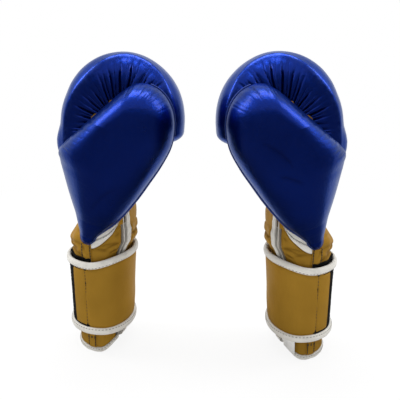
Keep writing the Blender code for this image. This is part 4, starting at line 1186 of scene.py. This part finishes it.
def slit_edges(glove):
    """The white bindings folded over the slit's two edges, running up onto the palm."""
    inside = LEATHER + CUFF_FOAM + CLEARANCE
    solids = []
    for first, width, proud, past_wrist in SLIT_EDGES.values():
        top = CUFF_HEIGHT + past_wrist
        height = np.linspace(BINDING_HEIGHT + CLEARANCE, top, 150)[:, None]
        across = np.linspace(-1, 1, 14)[None, :]
        narrow = 1 - 0.7 * smooth(height, top - 14 * MM, top)
        angle = first + width * (0.5 + 0.5 * across) * narrow
        on_cuff = height < CUFF_HEIGHT
        under = np.where(on_cuff, cuff_puff(height, angle), heel_lift(height - CUFF_HEIGHT, angle))
        above = smooth(height, STRAP_HIGH, STRAP_HIGH + 6 * MM)
        free = 1 - smooth(height, STRAP_LOW - 8 * MM, STRAP_LOW) * (1 - above)
        crown = (TRIM + proud * free) * (1 - np.abs(across) ** 3) - 0.4 * MM + under
        crown = crown + 0.2 * MM * ripples(height, across * 0.002, 95, 7 * MM) * free
        deep = np.where(on_cuff, inside, LEATHER)
        # The last value is painted shade along both edges of each binding
        solids.append(cuff_shell(height, angle, crown, under - deep, smooth(np.abs(across), 0.8, 1)))
    nodes = ["slit_binding_thumb", "slit_binding_pinky"]
    glove.piece("slit_edges", solids, WHITE, "white_leather", nodes)


def seam_band(glove):
    """The gold strip sewn over the cuff's thumb seam."""
    height = np.linspace(BINDING_HEIGHT + CLEARANCE, SEAM_STRIP_TOP, 140)[:, None]
    across = np.linspace(-1, 1, 40)[None, :]
    angle = THUMB_SEAM + SEAM_STRIP_HALF * across
    above = smooth(height, STRAP_HIGH - 4 * MM, STRAP_HIGH + 6 * MM)
    crown = TRIM_OUTSIDE - 0.8 * MM * np.abs(across) ** 8 - 0.4 * MM * hump(np.abs(across), 0.78, 0.07)
    dents = 0.55 * MM * ripples(height, across * 0.006, 102, 9 * MM) * (1 - across**2) * above
    lift = crown + cuff_puff(height, angle) + dents
    # Painted shade in the grooves near the strip's edges and in its dents
    painted_shade = np.clip(hump(np.abs(across), 0.78, 0.06) * 0.6 + np.maximum(-dents, 0) / (0.8 * MM), 0, 1)
    solid = cuff_shell(height, angle, lift, lift - 1.6 * MM, painted_shade)
    glove.piece("seam_band", [solid], GOLD, "gold_leather", ["seam_strip"])


WEDGE_FROM = THUMB_SEAM + SEAM_STRIP_HALF + SEAM_GAP
WEDGE_PAST = 5 * MM


def wedge_place(share, across):
    """Height and angle on the white wedge, which narrows to a point away from the seam."""
    top = CUFF_HEIGHT + WEDGE_PAST
    low = GUSSET_LOW + (top - 2 * MM - GUSSET_LOW) * across**1.8
    return low + (top - low) * share, WEDGE_FROM + (GUSSET_TO - WEDGE_FROM) * across


def wedge(glove):
    """The white wedge of leather under the thumb, with two folds sewn across it."""
    share = np.linspace(0, 1, 60)[:, None]
    across = np.linspace(0, 1, 80)[None, :]
    height, angle = wedge_place(share, across)
    edge = np.minimum(np.minimum(share, 1 - share) * 8, np.minimum(across, 1 - across) * 12)
    folds = hump(share, 0.32, 0.035) + hump(share, 0.62, 0.035)
    crown = TRIM_OUTSIDE + 0.5 * MM - 1.1 * MM * (1 - smooth(edge, 0, 1)) - 0.9 * MM * folds
    lift = crown + cuff_puff(height, angle) + 0.2 * MM * ripples(height, CUFF_ROUND * angle, 111, 9 * MM)
    # Painted shade in the two sewn folds and a painted shadow along the wedge's lower edge
    rim = 1 - smooth(share, 0, 0.05)
    solid = cuff_shell(height, angle, lift, lift - 2.6 * MM, np.maximum(folds, rim))
    glove.piece("thumb_wedge", [solid], WHITE, "white_leather", ["thumb_gusset"])


def strap_length(first, last):
    """A length of the strap's gold leather, drawn tight between its pipings."""
    height = np.linspace(STRAP_EDGE_LOW - 1 * MM, STRAP_EDGE_HIGH + 1 * MM, 60)[:, None]
    angle = np.linspace(first, last, max(12, int(abs(last - first) / (1.2 * DEGREE))))[None, :]
    middle, half = (STRAP_LOW + STRAP_HIGH) / 2, (STRAP_HIGH - STRAP_LOW) / 2
    off = np.abs(height - middle) / half
    crown = STRAP_OUTSIDE + 0.5 * MM * (1 - off**4) - 0.9 * MM * hump(off, 0.88, 0.03)
    crown = crown + 0.22 * MM * ripples(height, CUFF_ROUND * angle, 121, 30 * MM)
    stitched = 0.55 * MM * hump(angle, STITCH_LINE, 1.6 * DEGREE)
    # The last value is painted shade along the strap beside its pipings
    return cuff_shell(height, angle, crown - stitched, STRAP_INSIDE, hump(off, 0.9, 0.03) * 0.6)


def strap_piping(places):
    """White piping through (height, angle) places on the strap's edge."""
    height, angle = np.array(places).T
    centres = cuff(height, angle, PIPING_LIFT)
    out = cuff(height, angle, PIPING_LIFT + PIPING_RADIUS) - centres
    return tube(centres, out, PIPING_PROUD, 20, wide=PIPING_HALF / PIPING_PROUD)


def straight_run(height, first, last):
    count = max(8, int(abs(last - first) / (1.5 * DEGREE)))
    return [(height, a) for a in np.linspace(first, last, count)]


def tip_run():
    """Along the tip's lower edge, round its end and back along its upper edge."""
    reach = PIPING_RADIUS + CLEARANCE
    past = reach / (30 * MM)
    turns = np.linspace(0, math.pi / 2, 8)
    lower = [(STRAP_EDGE_LOW - reach * math.cos(t), TIP_TO - past * math.sin(t)) for t in turns]
    upper = [(STRAP_EDGE_HIGH + reach * math.cos(t), TIP_TO - past * math.sin(t)) for t in turns[::-1]]
    return (
        straight_run(STRAP_LOW, STRAP_PARTED, TIP_TO + 0.02)
        + lower
        + upper
        + straight_run(STRAP_HIGH, TIP_TO + 0.02, STRAP_PARTED)
    )


def pile_band(first, last, outside, inside, seed, top=STRAP_EDGE_HIGH):
    """A length of hook or loop fabric."""
    height = np.linspace(STRAP_EDGE_LOW, top, 40)[:, None]
    angle = np.linspace(first, last, max(12, int(abs(last - first) / (1.5 * DEGREE))))[None, :]
    rough = 0.12 * MM * ripples(height, CUFF_ROUND * angle, seed, 4 * MM)
    under = cuff_puff(height, angle) * smooth(height, STRAP_EDGE_HIGH, STRAP_HIGH)
    return cuff_shell(height, angle, outside + under + rough, inside + under)


# The strap's two bends: the bodies on both sides, and where each bend starts and ends in the glove's frame
ROOT_BEND = ("glove", "strap", (28 * MM, 21 * MM, 55 * MM), (28 * MM, 9 * MM, 55 * MM))
TIP_BEND = ("strap", "strap_tip", (-9 * MM, -46 * MM, 55 * MM), (-17 * MM, -46 * MM, 55 * MM))


def strap(glove):
    """The strap: sewn to the little finger's side, free past the palm, and closed on the back of the cuff."""
    gold, white, black = (GOLD, "gold_leather"), (WHITE, "white_leather"), (PILE, "black_fastener")
    root, front = strap_length(STRAP_SEWN_TO, STRAP_PARTED), strap_length(STRAP_PARTED, TIP_LEATHER_TO)
    runs = [straight_run(h, STRAP_SEWN_TO, STRAP_PARTED) for h in (STRAP_LOW, STRAP_HIGH)]
    pipings = [strap_piping(r) for r in (*runs, tip_run())]
    backing = pile_band(STRAP_FREE_FROM, STRAP_STITCH, STRAP_INSIDE, BACKING_INSIDE, 131)
    hooks = pile_band(STRAP_STITCH, TIP_TO, STRAP_OUTSIDE - 0.4 * MM, BACKING_INSIDE, 132)
    root_edges = ["strap_lower_piping", "strap_upper_piping"]
    for name, solids, look, nodes, bend in (
        ("strap_root_leather", [root], gold, ["strap_root"], ROOT_BEND),
        ("strap_front_leather", [front], gold, ["strap", "strap_tip"], TIP_BEND),
        ("strap_root_piping", pipings[:2], white, root_edges, ROOT_BEND),
        ("strap_front_piping", pipings[2:], white, ["strap_tip_piping"], TIP_BEND),
        ("strap_backing_cloth", [backing], black, ["strap_backing"], TIP_BEND),
        ("strap_hooks", [hooks], black, ["strap_tip_webbing"], TIP_BEND),
    ):
        glove.across_joint(glove.piece(name, solids, *look, nodes, body=None), *bend)
    loops = pile_band(LOOP_TOP_FROM, LOOP_TO, BACKING_INSIDE - 0.1 * MM, -0.4 * MM, 133, LOOP_TOP)
    glove.piece("cuff_loops", [loops], PILE, "black_fastener", ["loop_panel"])


def tag(glove):
    """The blank white tag sewn into the mouth, folded up against the cuff."""
    across = np.linspace(-0.5, 0.5, 30)[None, :]
    share = np.linspace(0, 1, 26)[:, None]
    wave = 0.5 * MM * np.sin(across * 5 + share * 2) * share
    lift = BINDING_PROUD + 0.3 * MM + TAG_LEAN * np.sin(math.pi / 2 * share) + wave
    angle = TAG_AT + TAG_WIDTH * across
    upper = cuff(np.zeros(1), angle, lift)
    upper[..., 2] = 1 * MM + TAG_LENGTH * share**1.3 + 0.8 * MM * across
    lower = cuff(np.zeros(1), angle, lift - TAG_THICKNESS)
    lower[..., 2] = upper[..., 2]
    glove.piece("blank_tag_cloth", [shell(upper, lower)], TAG_CLOTH, "white_leather", ["blank_tag"])


def stitch_tree():
    """Geometry nodes that lay stitches along lines: rounded threads at a pitch, turned along the line."""
    tree = bpy.data.node_groups.new("stitch_row", "GeometryNodeTree")
    given = {"Lines": "Geometry", "Pitch": "Float", "Length": "Float", "Thickness": "Float"}
    given["Thread"] = "Material"
    for name, kind in given.items():
        tree.interface.new_socket(name, in_out="INPUT", socket_type="NodeSocket" + kind)
    tree.interface.new_socket("Stitches", in_out="OUTPUT", socket_type="NodeSocketGeometry")
    nodes = Nodes(tree)
    lines = nodes.node("NodeGroupInput", {}, {}, "Lines")
    pitch, length, thickness, thread = (lines.beside(name) for name in list(given)[1:])
    curve = nodes.node("GeometryNodeMeshToCurve", {}, {"Mesh": lines})
    points = nodes.node("GeometryNodeCurveToPoints", {"mode": "LENGTH"}, {"Curve": curve, "Length": pitch})
    ball = nodes.node("GeometryNodeMeshUVSphere", {}, {"Segments": 7, "Rings": 5, "Radius": 0.5})
    sizes = nodes.node("ShaderNodeCombineXYZ", {}, {0: length, 1: thickness, 2: thickness})
    stitch = nodes.node("GeometryNodeTransform", {}, {"Geometry": ball, "Scale": sizes})
    ahead = {"Vector": points.beside("Tangent")}
    turn = nodes.node("FunctionNodeAlignRotationToVector", {"axis": "X"}, ahead)
    sockets = {"Points": points, "Instance": stitch, "Rotation": turn}
    laid = nodes.node("GeometryNodeInstanceOnPoints", {}, sockets)
    solid = nodes.node("GeometryNodeRealizeInstances", {}, {"Geometry": laid})
    rounded = nodes.node("GeometryNodeSetShadeSmooth", {}, {"Geometry": solid})
    finished = nodes.node("GeometryNodeSetMaterial", {}, {"Geometry": rounded, "Material": thread})
    nodes.join(tree.nodes.new("NodeGroupOutput").inputs["Stitches"], finished)
    return tree


STITCH_TREE = stitch_tree()

# Pitch, length and thickness of the stitches: on the seam strip, on the bindings and the wedge, on the strap
# and on its piping
SEAM_THREAD = (2.6 * MM, 2.5 * MM, 0.9 * MM)
TRIM_THREAD = (3.0 * MM, 2.0 * MM, 0.55 * MM)
STRAP_THREAD = (3.2 * MM, 2.1 * MM, 0.6 * MM)
PIPING_THREAD = (3.4 * MM, 2.3 * MM, 0.7 * MM)


def stitches(glove, name, lines, thread, sizes, body="glove"):
    """Rows of stitches along lines of points, as one plain mesh."""
    mesh = bpy.data.meshes.new(f"{glove.side}_{name}_lines")
    points, edges = [], []
    for line in lines:
        start = len(points)
        points.extend(glove.place(line).tolist())
        edges.extend((start + i, start + i + 1) for i in range(len(line) - 1))
    mesh.from_pydata(points, edges, [])
    made = linked_object(f"{glove.side}_{name}", mesh)
    rows = made.modifiers.new("stitches", "NODES")
    rows.node_group = STITCH_TREE
    given = dict(zip(("Pitch", "Length", "Thickness", "Thread"), (*sizes, thread)))
    for item in STITCH_TREE.interface.items_tree:
        if item.name in given:
            rows[item.identifier] = given[item.name]
    solid = bpy.data.meshes.new_from_object(made.evaluated_get(bpy.context.evaluated_depsgraph_get()))
    made.modifiers.remove(rows)
    made.data = solid
    solid.name = made.name
    bpy.data.meshes.remove(mesh)
    if body:
        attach(made, glove.body(body))
    return made


def sewing(glove):
    """The visible seams: double rows on the seam strip, and single rows on the bindings, strap and wedge."""
    up = np.linspace(BINDING_HEIGHT + 2 * MM, SEAM_STRIP_TOP - 1 * MM, 120)
    black = []
    for side in (-1, 1):
        turn = THUMB_SEAM + side * SEAM_STRIP_HALF * 0.8
        black.append(cuff(up, turn, TRIM_OUTSIDE + cuff_puff(up, turn) - 0.1 * MM))
    across = np.linspace(THUMB_SEAM - SEAM_STRIP_HALF * 0.75, THUMB_SEAM + SEAM_STRIP_HALF * 0.75, 14)
    for level in (BAR_TACK, BAR_TACK + 0.9 * MM):
        black.append(cuff(level, across, TRIM_OUTSIDE + cuff_puff(level, across) + 0.1 * MM))
    stitches(glove, "seam_stitches", black, BLACK_THREAD, SEAM_THREAD)

    turn = np.linspace(SLIT_AT + SLIT_HALF - 2 * math.pi + 0.05, SLIT_AT - SLIT_HALF - 0.05, 240)
    pale = [cuff(BINDING_HEIGHT * 0.72, turn, BINDING_PROUD + 0.05 * MM)]
    share = np.linspace(0.04, 0.94, 60)
    for level in (0.26, 0.56):
        height, turn = wedge_place(level, share)
        pale.append(cuff(height, turn, TRIM_OUTSIDE + 0.4 * MM + cuff_puff(height, turn)))
    first, width, proud, _ = SLIT_EDGES["pinky"]
    up = np.linspace(STRAP_HIGH + 6 * MM, CUFF_HEIGHT - 1 * MM, 50)
    turn = first + width * 0.8
    pale.append(cuff(up, turn, TRIM * 0.6 + proud * 0.6 + cuff_puff(up, turn) - 0.1 * MM))
    stitches(glove, "trim_stitches", pale, GREY_THREAD, TRIM_THREAD)

    level = np.linspace(STRAP_EDGE_LOW + 0.5 * MM, STRAP_EDGE_HIGH - 0.5 * MM, 60)
    line = [cuff(level, STITCH_LINE, STRAP_OUTSIDE + 0.05 * MM)]
    made = stitches(glove, "strap_stitches", line, BLACK_THREAD, STRAP_THREAD, None)
    glove.across_joint(made, *TIP_BEND)
    off = 0.62
    lift = PIPING_LIFT + PIPING_PROUD * math.sqrt(1 - off * off)
    edges = (STRAP_HIGH - PIPING_HALF * off, STRAP_LOW + PIPING_HALF * off)
    for name, first, last, bend in (
        ("root_piping_stitches", STRAP_SEWN_TO, STRAP_PARTED, ROOT_BEND),
        ("front_piping_stitches", STRAP_PARTED, TIP_TO, TIP_BEND),
    ):
        turn = np.linspace(first, last, 160)
        rows = [cuff(edge, turn, lift) for edge in edges]
        made = stitches(glove, name, rows, GREY_THREAD, PIPING_THREAD, None)
        glove.across_joint(made, *bend)


def build_gloves():
    for side in ("left", "right"):
        glove = Glove(side)
        for make in (mitt, palm, lining, grip_roll, thumb, thumb_inside, cuff_sides, mouth_edge, slit_edges,
                     seam_band, wedge, strap, sewing):
            make(glove)
        if side == "right":
            tag(glove)


def staged(name, corners, faces, paint):
    mesh = bpy.data.meshes.new(name)
    mesh.from_pydata(corners, [], faces)
    mesh.materials.append(paint.material)
    return linked_object(name, mesh)


FLOOR_HALF = 6.0
FLOOR_BELOW = 0.3 * MM


def floor():
    """A plain pale floor that keeps the gloves' shadow, and shows white further off."""
    paint = Paint("pale_floor", roughness=0.9, base_color=(0.92, 0.92, 0.92, 1))
    corners = [(x * FLOOR_HALF, y * FLOOR_HALF, 0) for x, y in ((-1, -1), (1, -1), (1, 1), (-1, 1))]
    made = staged("floor", corners, [(0, 1, 2, 3)], paint)
    made.location.z = -FLOOR_BELOW
    seen = paint.seen()
    white = paint.node("ShaderNodeEmission", {}, {"Color": (1, 1, 1, 1), "Strength": 1.0})
    away = paint.node("ShaderNodeVectorMath", {"operation": "LENGTH"}, {0: paint.places()}, "Value")
    share = seen * (0.88 + paint.ramp(away, 0.25, 0.9) * 0.12)
    lit = Socket(paint, paint.shader.outputs[0])
    mixed = paint.node("ShaderNodeMixShader", {}, {0: share, 1: lit, 2: white})
    paint.join(paint.tree.nodes["Material Output"].inputs["Surface"], mixed)


def dark_card():
    """A dark card that only reflections show. It lies under the gloves and in front of them, and stands up
    behind the camera and at both sides."""
    paint = Paint("dark_card", roughness=1.0, base_color=(0.2, 0.2, 0.2, 1))
    lines = [(0.12, 0.001), (-0.8, 0.001), (-0.85, 0.95)]
    points = [(x, y, z) for y, z in lines for x in (-1.0, 1.0)] + [(x, 0.12, 0.5) for x in (-1.05, 1.05)]
    card = staged("dark_card", points, [(0, 1, 3, 2), (2, 3, 5, 4), (0, 2, 4, 6), (1, 7, 5, 3)], paint)
    card.visible_camera = card.visible_diffuse = card.visible_shadow = False


# Each lamp's place, where it points, its width and depth and its power
LAMPS = {
    "overhead": ((0, 0.2, 1.1), (0, 0.02, 0.15), (0.7, 0.4), 6.0),
    "left_window": ((-0.8, 0.15, 0.85), (0, 0, 0.17), (0.4, 0.5), 4.0),
    "right_window": ((0.8, 0.15, 0.85), (0, 0, 0.17), (0.4, 0.5), 3.0),
}
CAMERA_TARGET = Vector((0, 0.029, 0.145))
CAMERA_DISTANCE = 0.60
CAMERA_ABOVE = 12 * DEGREE


def aim(made, place, target):
    made.location = place
    made.rotation_euler = (target - place).to_track_quat("-Z", "Y").to_euler()


def studio():
    """Soft light from above, a white surround and the camera."""
    scene = bpy.context.scene
    scene.view_settings.view_transform = "Standard"
    scene.world = bpy.data.worlds.new("studio")
    scene.world.use_nodes = True
    sky = Nodes(scene.world.node_tree)
    surround = sky.tree.nodes["Background"].inputs
    sky.join(surround["Color"], (1, 1, 1, 1))
    level = {"Value": sky.seen(), "To Min": 0.85, "To Max": 1.0}
    sky.join(surround["Strength"], sky.node("ShaderNodeMapRange", {}, level))

    for name, (place, target, size, power) in LAMPS.items():
        lamp = bpy.data.lights.new(name, "AREA")
        lamp.shape = "RECTANGLE"
        lamp.size, lamp.size_y = size
        lamp.energy = power
        aim(linked_object(name, lamp), Vector(place), Vector(target))

    lens = bpy.data.cameras.new("camera")
    lens.lens, lens.sensor_width = 54.0, 36.0
    scene.camera = linked_object("camera", lens)
    back = Vector((0, -math.cos(CAMERA_ABOVE), math.sin(CAMERA_ABOVE)))
    aim(scene.camera, CAMERA_TARGET + CAMERA_DISTANCE * back, CAMERA_TARGET)


build_gloves()
floor()
dark_card()
studio()
